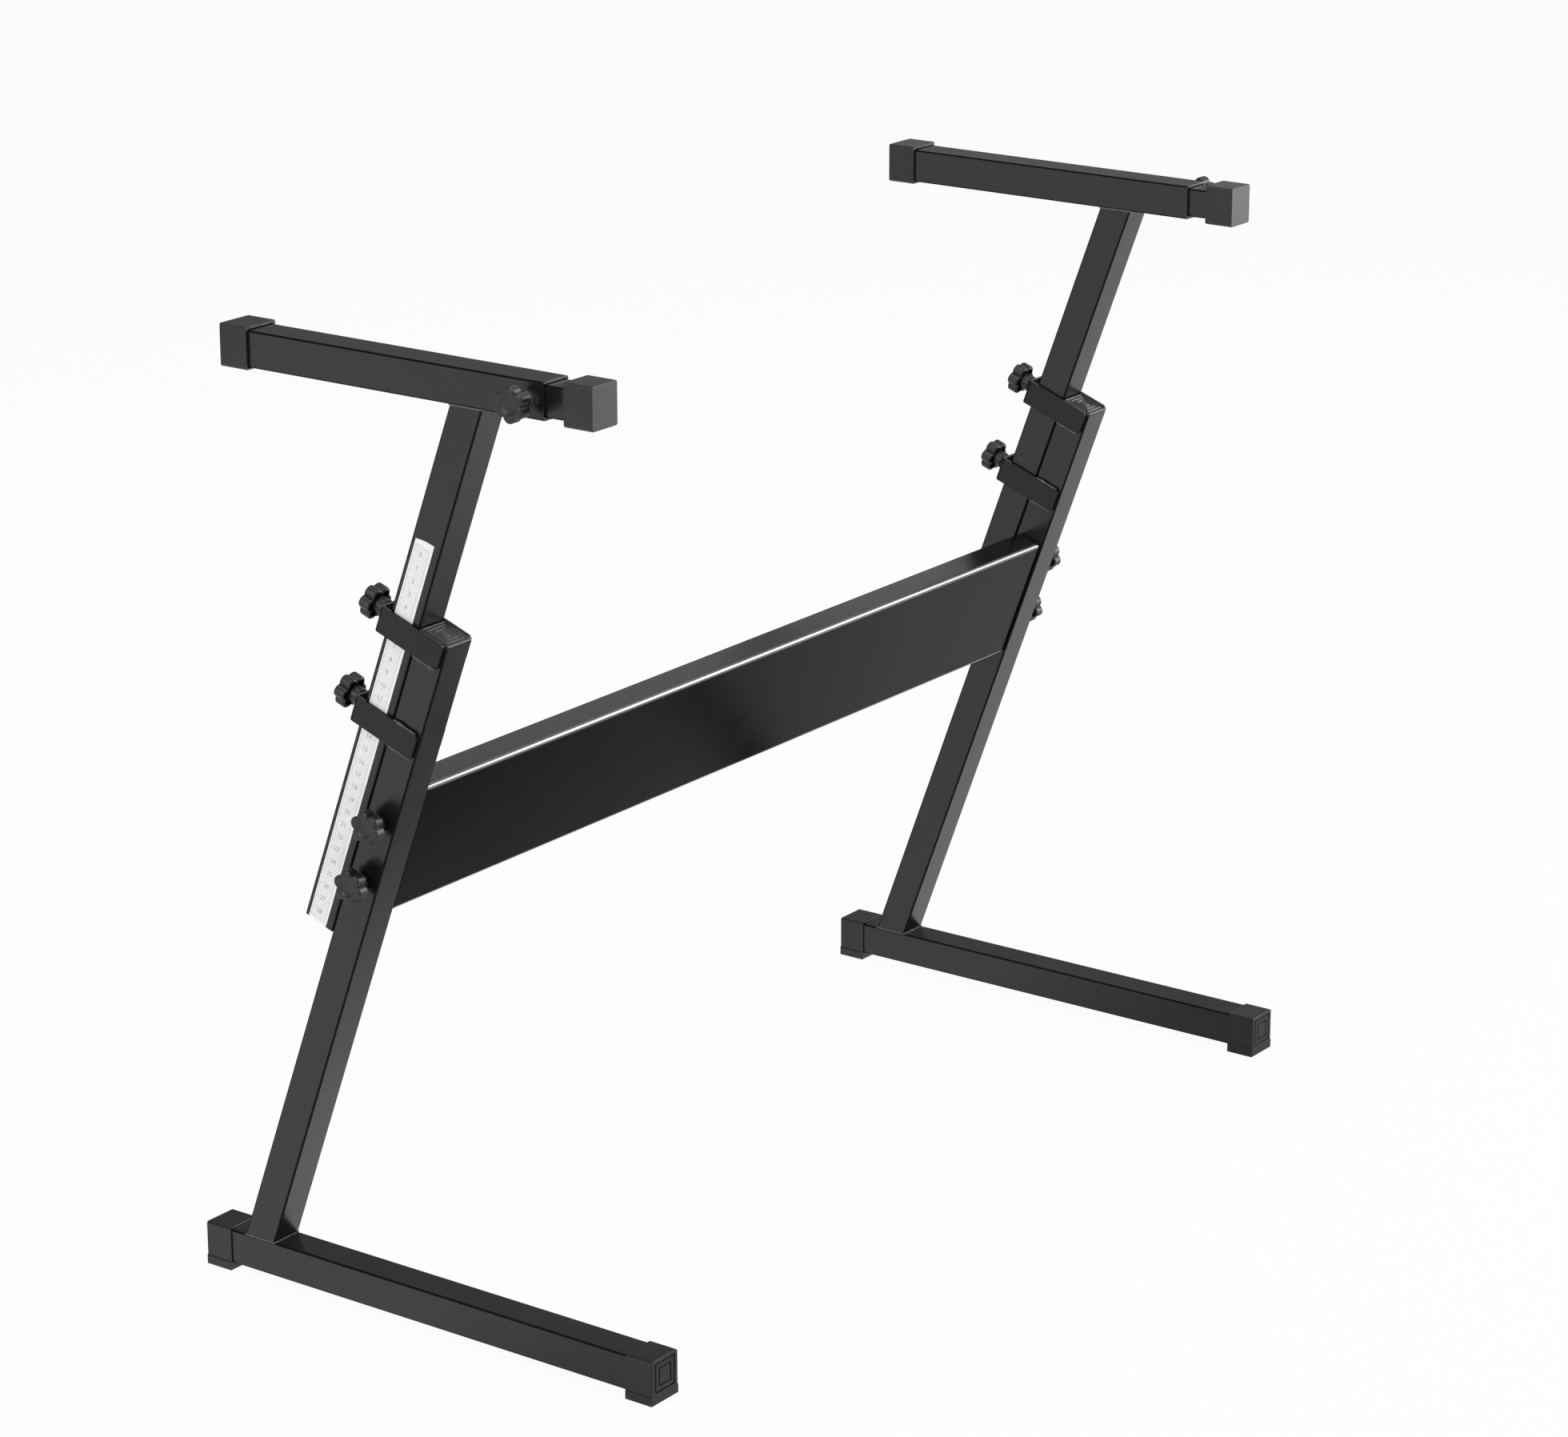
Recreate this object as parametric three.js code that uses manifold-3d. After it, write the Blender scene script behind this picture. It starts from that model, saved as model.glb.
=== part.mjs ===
// Folding keyboard stand: two Z-shaped side frames joined by a pressed crossbar panel.
// Millimetres, +X to the player's right, +Y away from the player, +Z up, floor at Z = 0.
// Each side: foot tube with moulded caps, leaning lower leg, upper leg sliding behind it in two
// clamp brackets, arm tube on top with a telescoping extension, and star knobs on threaded studs.
import * as THREE from "three";
import { mergeVertices } from "three/addons/utils/BufferGeometryUtils.js";
import Module from "manifold-3d";

const wasm = await Module();
wasm.setup();

// ---- Square tube stock
const TUBE = 25;
const TUBE_WALL = 1.5;
const TUBE_CORNER = 2;

// ---- Fits
const SEAT_GAP = 0.2;
const SLIDE_GAP = 0.4;
const BORE_GAP = 0.2;
const HOLE_GAP = 0.5;

// ---- Side frames
const FRAME_SPAN = 789;
const LEAN = THREE.MathUtils.degToRad(20.2);
const FOOT_LENGTH = 392.2;
const FOOT_CLEARANCE = 5.5;
const LEG_SETBACK = 62.1;
const LOWER_LEG_LENGTH = 486;
const UPPER_LEG_START = 249;
const UPPER_LEG_LENGTH = 403.4;

// ---- Foot caps
const CAP_WALL = 1;
const CAP_LENGTH = 22.3;
const CAP_END_WALL = 5;
const CAP_BASE_HEIGHT = 6;
const CAP_BASE_STEP = 1.2;
const CAP_CORNER = 1.5;
const CAP_PANEL_MARGIN = 4;
const CAP_PANEL_DEPTH = 0.8;
const CAP_PAD_MARGIN = 3.5;

// ---- Lower leg plug
const PLUG_HEAD = 3.8;
const PLUG_BEVEL = 1.5;
const PLUG_SPIGOT = 14;
const PLUG_RING_STEP = 0.6;
const PLUG_RING_WIDTH = 2.4;

// ---- Clamp brackets
const BRACKET_PLATE = 2;
const BRACKET_HEIGHT = 19;
const BRACKET_SPACING = 69.3;
const BRACKET_FRONT_MARGIN = 1.8;
const BRACKET_BEND = 3.5;
const BRACKET_CORNER = 3;
const CLAMP_SPACE = 5.2;

// ---- Crossbar panel
const PANEL_HEIGHT = 100;
const PANEL_BELOW_CLAMP = 39;
const PANEL_PLATE = 1.5;
const PANEL_FLANGE = 19;
const PANEL_BEND = 3;
const PANEL_SETBACK = 1.6;
const PANEL_RELIEF = 1.2;
const BOLT_SPACING = 47;

// ---- Arms
const ARM_LENGTH = 265;
const ARM_OVERHANG = 50;
const EXTENSION_WALL = 1.5;
const EXTENSION_SHOWN = 15.8;
const EXTENSION_INSERTED = 112;
const BOOT_LENGTH = 22.9;
const BOOT_SIDE_WALL = 2;
const BOOT_END_WALL = 4;
const BOOT_BELOW = 1.5;
const BOOT_ABOVE = 2.5;
const BOOT_CORNER = 2;
const ARM_KNOB_FROM_END = 12;

// ---- Height scale
const SCALE_WIDTH = 14.5;
const SCALE_THICKNESS = 0.2;
const SCALE_MARGIN = 2.3;
const SCALE_LENGTH = 303;
const SCALE_CROWN = 1.2;

// ---- Studs, nuts and star knobs
const STUD_DIAMETER = 6;
const STUD_CHAMFER = 0.8;
const NUT_FLATS = 10;
const NUT_THICKNESS = 4.5;
const KNOB_RADIUS = 12.5;
const KNOB_LOBES = 6;
const KNOB_LOBE_DEPTH = 2.8;
const KNOB_LOBE_ROUNDNESS = 0.9;
const KNOB_THICKNESS = 9;
const KNOB_EDGE = 1.4;
const KNOB_NECK_RADIUS = 6.2;
const KNOB_NECK = 6;
const KNOB_RECESS_RADIUS = 8.7;
const KNOB_RECESS = 4;
const KNOB_DISH_RADIUS = 6.5;
const KNOB_DISH = 0.5;
const KNOB_BORE = 11;
const CLAMP_STANDOFF = 5;
const PANEL_STANDOFF = 2;
const ARM_STANDOFF = 0.6;

// ---- Facets
const CORNER_STEPS = 3;
const ROUND_STEPS = 16;
const KNOB_STEPS = 36;

// ---- Derived places
const HALF_SPAN = FRAME_SPAN / 2;
const SIDE_CENTRE = HALF_SPAN - TUBE / 2;
const FOOT_TOP = FOOT_CLEARANCE + TUBE;
const LEG_Y = FOOT_LENGTH / 2 - LEG_SETBACK;
const SEAM = TUBE + SEAT_GAP;
const UPPER_LEG_TOP = UPPER_LEG_START + UPPER_LEG_LENGTH;
const STUD_RADIUS = STUD_DIAMETER / 2;
const HOLE_RADIUS = STUD_RADIUS + HOLE_GAP;
const NUT_BORE_RADIUS = STUD_RADIUS + BORE_GAP;
const TUBE_BORE = TUBE - 2 * TUBE_WALL;
const EXTENSION = TUBE_BORE - 2 * SLIDE_GAP;
const BRACKET_INNER = TUBE + 2 * SLIDE_GAP;
const BRACKET_OUTER = BRACKET_INNER + 2 * BRACKET_PLATE;
const BRACKET_BACK = SEAM + TUBE + CLAMP_SPACE + BRACKET_PLATE;
const UPPER_BRACKET_TOP = LOWER_LEG_LENGTH + PLUG_HEAD;
const UPPER_CLAMP = UPPER_BRACKET_TOP - BRACKET_HEIGHT / 2;
const LOWER_CLAMP = UPPER_CLAMP - BRACKET_SPACING;
const PANEL_CENTRE = LOWER_CLAMP - PANEL_BELOW_CLAMP - PANEL_HEIGHT / 2;

// Leg frame: local Z runs up along the leg, local Y from its front face to the rear.
const LEG_FRAME = new THREE.Matrix4()
  .makeTranslation(0, LEG_Y, FOOT_TOP)
  .multiply(new THREE.Matrix4().makeRotationX(LEAN));

// A place of the leg frame in the object's frame.
function legPoint(x, depth, along) {
  return new THREE.Vector3(x, depth, along).applyMatrix4(LEG_FRAME);
}

const ARM_BOTTOM = legPoint(0, SEAM, UPPER_LEG_TOP).z;
const ARM_CENTRE_Z = ARM_BOTTOM + TUBE / 2;
const ARM_FRONT = legPoint(0, SEAM, UPPER_LEG_TOP).y - ARM_OVERHANG;
const ARM_BACK = ARM_FRONT + ARM_LENGTH;
const BOOT_BOTTOM = ARM_BOTTOM - BOOT_BELOW;
const BOOT_TOP = ARM_BOTTOM + TUBE + BOOT_ABOVE;

// ---- Finishes
const blackPaint = { color: 0x1c1c1f, roughness: 0.42, metalness: 0.2 };
const blackPlastic = { color: 0x19191b, roughness: 0.55, metalness: 0 };
const blackRubber = { color: 0x1d1d1e, roughness: 0.8, metalness: 0 };
const zincSteel = { color: 0xa8abb0, roughness: 0.35, metalness: 1 };
const whitePrint = { color: 0xe9e9e6, roughness: 0.5, metalness: 0 };

// ---- Solids
function solidOf(geometry) {
  const bare = geometry.clone();
  bare.deleteAttribute("normal");
  bare.deleteAttribute("uv");
  const merged = mergeVertices(bare, 1e-4);
  return new wasm.Manifold(
    new wasm.Mesh({
      numProp: 3,
      vertProperties: new Float32Array(merged.attributes.position.array),
      triVerts: new Uint32Array(merged.index.array),
    }),
  );
}

function geometryOf(solid) {
  const mesh = solid.getMesh();
  const points = new Float32Array(mesh.numVert * 3);
  for (let i = 0; i < mesh.numVert; i += 1) {
    const start = i * mesh.numProp;
    points.set(mesh.vertProperties.subarray(start, start + 3), i * 3);
  }
  const geometry = new THREE.BufferGeometry();
  geometry.setAttribute("position", new THREE.BufferAttribute(points, 3));
  geometry.setIndex(new THREE.BufferAttribute(mesh.triVerts, 1));
  return geometry;
}

function cut(geometry, ...tools) {
  return geometryOf(tools.reduce((solid, tool) => solid.subtract(solidOf(tool)), solidOf(geometry)));
}

function join(geometry, ...others) {
  return geometryOf(others.reduce((solid, other) => solid.add(solidOf(other)), solidOf(geometry)));
}

function common(geometry, other) {
  return geometryOf(solidOf(geometry).intersect(solidOf(other)));
}

// A path round a rectangle. corners gives the radii at (-x,-y), (+x,-y), (+x,+y), (-x,+y).
function rectanglePoints(x0, x1, y0, y1, corners) {
  const places = [
    [x0, y0, 1, 1, Math.PI],
    [x1, y0, -1, 1, 1.5 * Math.PI],
    [x1, y1, -1, -1, 0],
    [x0, y1, 1, -1, 0.5 * Math.PI],
  ];
  const points = [];
  places.forEach(([x, y, inX, inY, start], index) => {
    const radius = corners[index];
    if (radius <= 0) {
      points.push(new THREE.Vector2(x, y));
      return;
    }
    for (let step = 0; step <= CORNER_STEPS; step += 1) {
      const angle = start + (step / CORNER_STEPS) * 0.5 * Math.PI;
      const px = x + inX * radius + radius * Math.cos(angle);
      const py = y + inY * radius + radius * Math.sin(angle);
      points.push(new THREE.Vector2(px, py));
    }
  });
  return points;
}

function squarePoints(width, height, radius) {
  const corners = [radius, radius, radius, radius];
  return rectanglePoints(-width / 2, width / 2, -height / 2, height / 2, corners);
}

// Points extruded along +Z from zero, with an optional hole.
function prism(points, length, hole) {
  const shape = new THREE.Shape(points);
  if (hole) {
    shape.holes.push(new THREE.Path(hole));
  }
  return new THREE.ExtrudeGeometry(shape, { depth: length, bevelEnabled: false });
}

function squareTube(size, wall, length) {
  const outer = squarePoints(size, size, TUBE_CORNER);
  const inner = squarePoints(size - 2 * wall, size - 2 * wall, TUBE_CORNER - wall);
  return prism(outer, length, inner);
}

// An extrusion along +Z turned so that it runs along +Y, with its profile's y upward.
function alongY(geometry, startY) {
  return geometry.rotateX(Math.PI / 2).rotateZ(Math.PI).translate(0, startY, 0);
}

// An extrusion along +Z turned so that it runs along +X, its profile's x and y kept as y and z.
function alongX(geometry, startX) {
  const turn = new THREE.Matrix4().set(0, 0, 1, 0, 1, 0, 0, 0, 0, 1, 0, 0, 0, 0, 0, 1);
  return geometry.applyMatrix4(turn).translate(startX, 0, 0);
}

function box(x0, x1, y0, y1, z0, z1) {
  const geometry = new THREE.BoxGeometry(x1 - x0, y1 - y0, z1 - z0);
  return geometry.translate((x0 + x1) / 2, (y0 + y1) / 2, (z0 + z1) / 2);
}

// A round bar along +Z between two heights.
function round(radius, z0, z1) {
  const geometry = new THREE.CylinderGeometry(radius, radius, z1 - z0, ROUND_STEPS);
  return geometry.rotateX(Math.PI / 2).translate(0, 0, (z0 + z1) / 2);
}

function circlePoints(radius, steps) {
  const points = [];
  for (let step = 0; step < steps; step += 1) {
    const angle = (step / steps) * 2 * Math.PI;
    points.push(new THREE.Vector2(radius * Math.cos(angle), radius * Math.sin(angle)));
  }
  return points;
}

// ---- Star knob: lobed disc from zero outward along +Z, neck behind it, blind bore for the stud.
function knobOutline() {
  const points = [];
  for (let step = 0; step < KNOB_STEPS; step += 1) {
    const angle = (step / KNOB_STEPS) * 2 * Math.PI;
    const swell = Math.pow(Math.abs(Math.cos((KNOB_LOBES * angle) / 2)), KNOB_LOBE_ROUNDNESS);
    const radius = KNOB_RADIUS - KNOB_LOBE_DEPTH * (1 - swell);
    points.push(new THREE.Vector2(radius * Math.cos(angle), radius * Math.sin(angle)));
  }
  return points;
}

function starKnob() {
  const top = KNOB_THICKNESS;
  const blank = [
    [NUT_BORE_RADIUS, -KNOB_NECK],
    [KNOB_NECK_RADIUS, -KNOB_NECK],
    [KNOB_NECK_RADIUS, KNOB_RECESS],
    [KNOB_RECESS_RADIUS, KNOB_RECESS],
    [KNOB_RECESS_RADIUS, 0],
    [KNOB_RADIUS - KNOB_EDGE, 0],
    [KNOB_RADIUS + BORE_GAP, KNOB_EDGE],
    [KNOB_RADIUS + BORE_GAP, top - KNOB_EDGE],
    [KNOB_RADIUS - KNOB_EDGE, top],
    [KNOB_DISH_RADIUS, top],
    [KNOB_DISH_RADIUS - KNOB_DISH, top - KNOB_DISH],
    [0, top - KNOB_DISH],
    [0, KNOB_BORE - KNOB_NECK],
    [NUT_BORE_RADIUS, KNOB_BORE - KNOB_NECK],
    [NUT_BORE_RADIUS, -KNOB_NECK],
  ];
  const profile = blank.map(([r, z]) => new THREE.Vector2(r, z));
  const lathe = new THREE.LatheGeometry(profile, KNOB_STEPS).rotateX(Math.PI / 2);
  const reach = KNOB_NECK + 1;
  const star = prism(knobOutline(), reach + top + 1).translate(0, 0, -reach);
  return common(lathe, star);
}

// A stud from its tip at zero along +Z to the bottom of its knob's bore.
function stud(length) {
  const profile = [
    new THREE.Vector2(0, 0),
    new THREE.Vector2(STUD_RADIUS - STUD_CHAMFER, 0),
    new THREE.Vector2(STUD_RADIUS, STUD_CHAMFER),
    new THREE.Vector2(STUD_RADIUS, length),
    new THREE.Vector2(0, length),
  ];
  return new THREE.LatheGeometry(profile, ROUND_STEPS).rotateX(Math.PI / 2);
}

function hexNut(thickness) {
  const outer = circlePoints(NUT_FLATS / Math.sqrt(3), 6);
  return prism(outer, thickness, circlePoints(NUT_BORE_RADIUS, ROUND_STEPS));
}

// ---- Foot tube and caps, built along Y for one side and set at that side's centre
function footTube() {
  const length = FOOT_LENGTH - 2 * (CAP_END_WALL + SEAT_GAP);
  return alongY(squareTube(TUBE, TUBE_WALL, length), -length / 2).translate(0, 0, FOOT_TOP - TUBE / 2);
}

// The cap at the front end: its end face looks toward the player.
function footCap() {
  const pocket = TUBE + 2 * SEAT_GAP;
  const width = pocket + 2 * CAP_WALL;
  const top = FOOT_TOP + SEAT_GAP + CAP_WALL;
  const end = -FOOT_LENGTH / 2;
  const corners = [0, 0, CAP_CORNER, CAP_CORNER];
  const body = rectanglePoints(-width / 2, width / 2, 0, top, corners);
  const block = alongY(prism(body, CAP_LENGTH), end);
  const half = width / 2 + CAP_BASE_STEP;
  const slope = CAP_BASE_HEIGHT + CAP_BASE_STEP;
  const skirt = [
    new THREE.Vector2(-half, 0),
    new THREE.Vector2(half, 0),
    new THREE.Vector2(half, CAP_BASE_HEIGHT),
    new THREE.Vector2(width / 2, slope),
    new THREE.Vector2(-width / 2, slope),
    new THREE.Vector2(-half, CAP_BASE_HEIGHT),
  ];
  const base = alongY(prism(skirt, CAP_LENGTH + CAP_BASE_STEP), end);
  const inner = end + CAP_END_WALL;
  const hollow = box(
    -pocket / 2, pocket / 2, inner, end + CAP_LENGTH + CAP_BASE_STEP + 1,
    FOOT_CLEARANCE - SEAT_GAP, FOOT_TOP + SEAT_GAP,
  );
  const margin = CAP_PANEL_MARGIN;
  const low = CAP_BASE_HEIGHT;
  const panel = box(
    -width / 2 + margin, width / 2 - margin, end - 1, end + CAP_PANEL_DEPTH, low, top - margin,
  );
  const inset = margin + CAP_PAD_MARGIN;
  const pad = box(
    -width / 2 + inset, width / 2 - inset, end, end + CAP_PANEL_DEPTH + 1,
    low + CAP_PAD_MARGIN, top - inset,
  );
  return join(cut(join(block, base), hollow, panel), pad);
}

// ---- Leg frame pieces, built at x = 0
function boltHoles(x0, x1) {
  return [-1, 1].map((sign) => {
    const along = PANEL_CENTRE + (sign * BOLT_SPACING) / 2;
    return alongX(round(HOLE_RADIUS, 0, x1 - x0), x0).translate(0, TUBE / 2, along);
  });
}

function lowerLeg() {
  const below = TUBE;
  const tube = squareTube(TUBE, TUBE_WALL, LOWER_LEG_LENGTH + below).translate(0, TUBE / 2, -below);
  const drilled = cut(tube, ...boltHoles(-TUBE, TUBE)).applyMatrix4(LEG_FRAME);
  const reach = 4 * TUBE;
  const floor = box(
    -reach, reach, LEG_Y - reach, LEG_Y + reach, FOOT_TOP + SEAT_GAP - reach, FOOT_TOP + SEAT_GAP,
  );
  return cut(drilled, floor);
}

function legPlug() {
  const seat = LOWER_LEG_LENGTH + SEAT_GAP;
  const head = PLUG_HEAD - SEAT_GAP;
  const block = prism(squarePoints(TUBE, TUBE, TUBE_CORNER), head - PLUG_BEVEL);
  const topSize = TUBE - 2 * PLUG_BEVEL;
  const bevel = new THREE.CylinderGeometry(
    topSize / Math.SQRT2, TUBE / Math.SQRT2, PLUG_BEVEL, 4,
  );
  const slope = bevel.rotateY(Math.PI / 4).rotateX(Math.PI / 2);
  const cornered = prism(squarePoints(TUBE, TUBE, TUBE_CORNER), PLUG_BEVEL);
  const crown = common(slope.translate(0, 0, PLUG_BEVEL / 2), cornered);
  const spigotSize = TUBE_BORE - 2 * SEAT_GAP;
  const spigot = prism(squarePoints(spigotSize, spigotSize, 0), PLUG_SPIGOT + 1);
  const ringOut = topSize - 2 * PLUG_RING_WIDTH;
  const ringIn = ringOut - 2 * PLUG_RING_WIDTH;
  const groove = prism(
    squarePoints(ringOut, ringOut, 0), PLUG_RING_STEP + 1, squarePoints(ringIn, ringIn, 0),
  );
  const solid = join(
    block, crown.translate(0, 0, head - PLUG_BEVEL), spigot.translate(0, 0, -PLUG_SPIGOT),
  );
  return cut(solid, groove.translate(0, 0, head - PLUG_RING_STEP)).translate(0, TUBE / 2, seat);
}

// U strap round the upper leg, its side plates on the lower leg, centred at the given height.
function clampBracket(centre) {
  const inner = BRACKET_BEND - BRACKET_PLATE;
  const outerHalf = BRACKET_OUTER / 2;
  const innerHalf = BRACKET_INNER / 2;
  const bends = [0, 0, BRACKET_BEND, BRACKET_BEND];
  const outer = rectanglePoints(-outerHalf, outerHalf, BRACKET_FRONT_MARGIN, BRACKET_BACK, bends);
  const hollow = rectanglePoints(
    -innerHalf, innerHalf, -TUBE, BRACKET_BACK - BRACKET_PLATE, [0, 0, inner, inner],
  );
  const strap = cut(
    prism(outer, BRACKET_HEIGHT),
    prism(hollow, BRACKET_HEIGHT + 2).translate(0, 0, -1),
  );
  const side = rectanglePoints(
    BRACKET_FRONT_MARGIN, BRACKET_BACK + 1, 0, BRACKET_HEIGHT, [BRACKET_CORNER, 0, 0, BRACKET_CORNER],
  );
  const trimmed = common(strap, alongX(prism(side, BRACKET_OUTER + 2), -BRACKET_OUTER / 2 - 1));
  const hole = round(HOLE_RADIUS, 0, BRACKET_BACK);
  hole.rotateX(-Math.PI / 2).translate(0, SEAM + TUBE / 2, BRACKET_HEIGHT / 2);
  return cut(trimmed, hole).translate(0, 0, centre - BRACKET_HEIGHT / 2);
}

// The axis of a clamp in the leg frame: it leaves the lower leg's front face toward the rear.
const clampAxis = (centre) =>
  new THREE.Matrix4()
    .makeTranslation(0, 0, centre)
    .multiply(new THREE.Matrix4().makeRotationX(-Math.PI / 2));

function upperLeg() {
  const above = TUBE;
  const tube = squareTube(TUBE, TUBE_WALL, UPPER_LEG_LENGTH + above);
  tube.translate(0, SEAM + TUBE / 2, UPPER_LEG_START);
  const reach = 4 * TUBE;
  const top = legPoint(0, SEAM, UPPER_LEG_TOP);
  const roof = box(
    -reach, reach, top.y - reach, top.y + reach, ARM_BOTTOM - SEAT_GAP, ARM_BOTTOM + reach,
  );
  return cut(tube.applyMatrix4(LEG_FRAME), roof);
}

// The strip lies on the outer side face, its upper end slightly crowned.
function heightScale(side) {
  const back = SEAM + TUBE - SCALE_MARGIN;
  const front = back - SCALE_WIDTH;
  const points = [
    new THREE.Vector2(front, UPPER_LEG_START + SEAT_GAP),
    new THREE.Vector2(back, UPPER_LEG_START + SEAT_GAP),
  ];
  const steps = 6;
  for (let step = 0; step <= steps; step += 1) {
    const share = step / steps;
    const rise = SCALE_CROWN * Math.sin(share * Math.PI);
    points.push(
      new THREE.Vector2(back - share * SCALE_WIDTH, UPPER_LEG_START + SCALE_LENGTH + rise),
    );
  }
  const inner = side > 0 ? TUBE / 2 : -TUBE / 2 - SCALE_THICKNESS;
  return alongX(prism(points, SCALE_THICKNESS), inner);
}

// Pan-shaped panel: front plate with flanges on all four edges, bends rounded.
function crossbar() {
  const half = HALF_SPAN - TUBE - SEAT_GAP;
  const bottom = PANEL_CENTRE - PANEL_HEIGHT / 2;
  const top = PANEL_CENTRE + PANEL_HEIGHT / 2;
  const front = PANEL_SETBACK;
  const back = PANEL_SETBACK + PANEL_FLANGE;
  const shell = (inset, bend, rear) => {
    const section = rectanglePoints(front + inset, rear, bottom + inset, top - inset, [bend, 0, 0, bend]);
    const length = 2 * (half - inset);
    const plan = rectanglePoints(-length / 2, length / 2, front + inset, rear, [bend, bend, 0, 0]);
    const height = PANEL_HEIGHT - 2 * inset;
    const rolled = alongX(prism(section, length), -length / 2);
    const upright = prism(plan, height).translate(0, 0, bottom + inset);
    return common(rolled, upright);
  };
  const pan = cut(shell(0, PANEL_BEND, back), shell(PANEL_PLATE, PANEL_BEND - PANEL_PLATE, back + 1));
  const reliefs = [];
  for (const sign of [-1, 1]) {
    const a = sign * (half - PANEL_PLATE);
    const b = sign * (half - PANEL_PLATE - PANEL_RELIEF);
    reliefs.push(
      box(Math.min(a, b), Math.max(a, b), front + PANEL_BEND, back + 1, bottom - 1, bottom + PANEL_BEND),
      box(Math.min(a, b), Math.max(a, b), front + PANEL_BEND, back + 1, top - PANEL_BEND, top + 1),
    );
  }
  return cut(pan, ...reliefs, ...boltHoles(-HALF_SPAN, HALF_SPAN)).applyMatrix4(LEG_FRAME);
}

// ---- Arm pieces, built along Y at x = 0
function armTube(side) {
  const tube = alongY(squareTube(TUBE, TUBE_WALL, ARM_LENGTH), ARM_FRONT).translate(0, 0, ARM_CENTRE_Z);
  const hole = alongX(round(HOLE_RADIUS, 0, TUBE), side > 0 ? 0 : -TUBE);
  return cut(tube, hole.translate(0, ARM_FRONT + ARM_KNOB_FROM_END, ARM_CENTRE_Z));
}

function armExtension() {
  const inBoot = BOOT_LENGTH - BOOT_END_WALL - SEAT_GAP;
  const length = EXTENSION_INSERTED + EXTENSION_SHOWN + inBoot;
  const tube = squareTube(EXTENSION, EXTENSION_WALL, length);
  return alongY(tube, ARM_FRONT + EXTENSION_INSERTED - length).translate(0, 0, ARM_CENTRE_Z);
}

// A boot whose closed end lies at endY, its pocket open toward the given direction along Y.
function boot(size, endY, direction) {
  const pocket = size + 2 * SEAT_GAP;
  const half = TUBE / 2 + SEAT_GAP + BOOT_SIDE_WALL;
  const corners = [BOOT_CORNER, BOOT_CORNER, BOOT_CORNER, BOOT_CORNER];
  const outline = rectanglePoints(-half, half, BOOT_BOTTOM, BOOT_TOP, corners);
  const startY = Math.min(endY, endY + direction * BOOT_LENGTH);
  const block = alongY(prism(outline, BOOT_LENGTH), startY);
  const near = endY + direction * BOOT_END_WALL;
  const far = endY + direction * (BOOT_LENGTH + 1);
  const hollow = box(
    -pocket / 2, pocket / 2, Math.min(near, far), Math.max(near, far),
    ARM_CENTRE_Z - pocket / 2, ARM_CENTRE_Z + pocket / 2,
  );
  return cut(block, hollow);
}

// ---- Assembly
const group = new THREE.Group();

function add(name, geometry, finish, matrix) {
  const mesh = new THREE.Mesh(geometry, new THREE.MeshStandardMaterial(finish));
  mesh.name = name;
  if (matrix) {
    mesh.applyMatrix4(matrix);
  }
  group.add(mesh);
}

const shiftX = (x) => new THREE.Matrix4().makeTranslation(x, 0, 0);

// A frame whose +Z leaves the object's side outward, at a place in the object's frame.
function outwardFrame(side, place) {
  const turn = new THREE.Matrix4().makeRotationY((side * Math.PI) / 2);
  return new THREE.Matrix4().makeTranslation(place.x, place.y, place.z).multiply(turn);
}

// Puts a knob, its stud and, where given, its nut on an axis. All distances run along the axis.
function addClamp(name, axis, knobBack, studTip, nutStart) {
  const along = (distance) => axis.clone().multiply(new THREE.Matrix4().makeTranslation(0, 0, distance));
  const studLength = knobBack - KNOB_NECK + KNOB_BORE - SEAT_GAP - studTip;
  add(`${name}_knob`, starKnob(), blackPlastic, along(knobBack));
  add(`${name}_stud`, stud(studLength), zincSteel, along(studTip));
  add(`${name}_nut`, hexNut(NUT_THICKNESS), zincSteel, along(nutStart));
}

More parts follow.
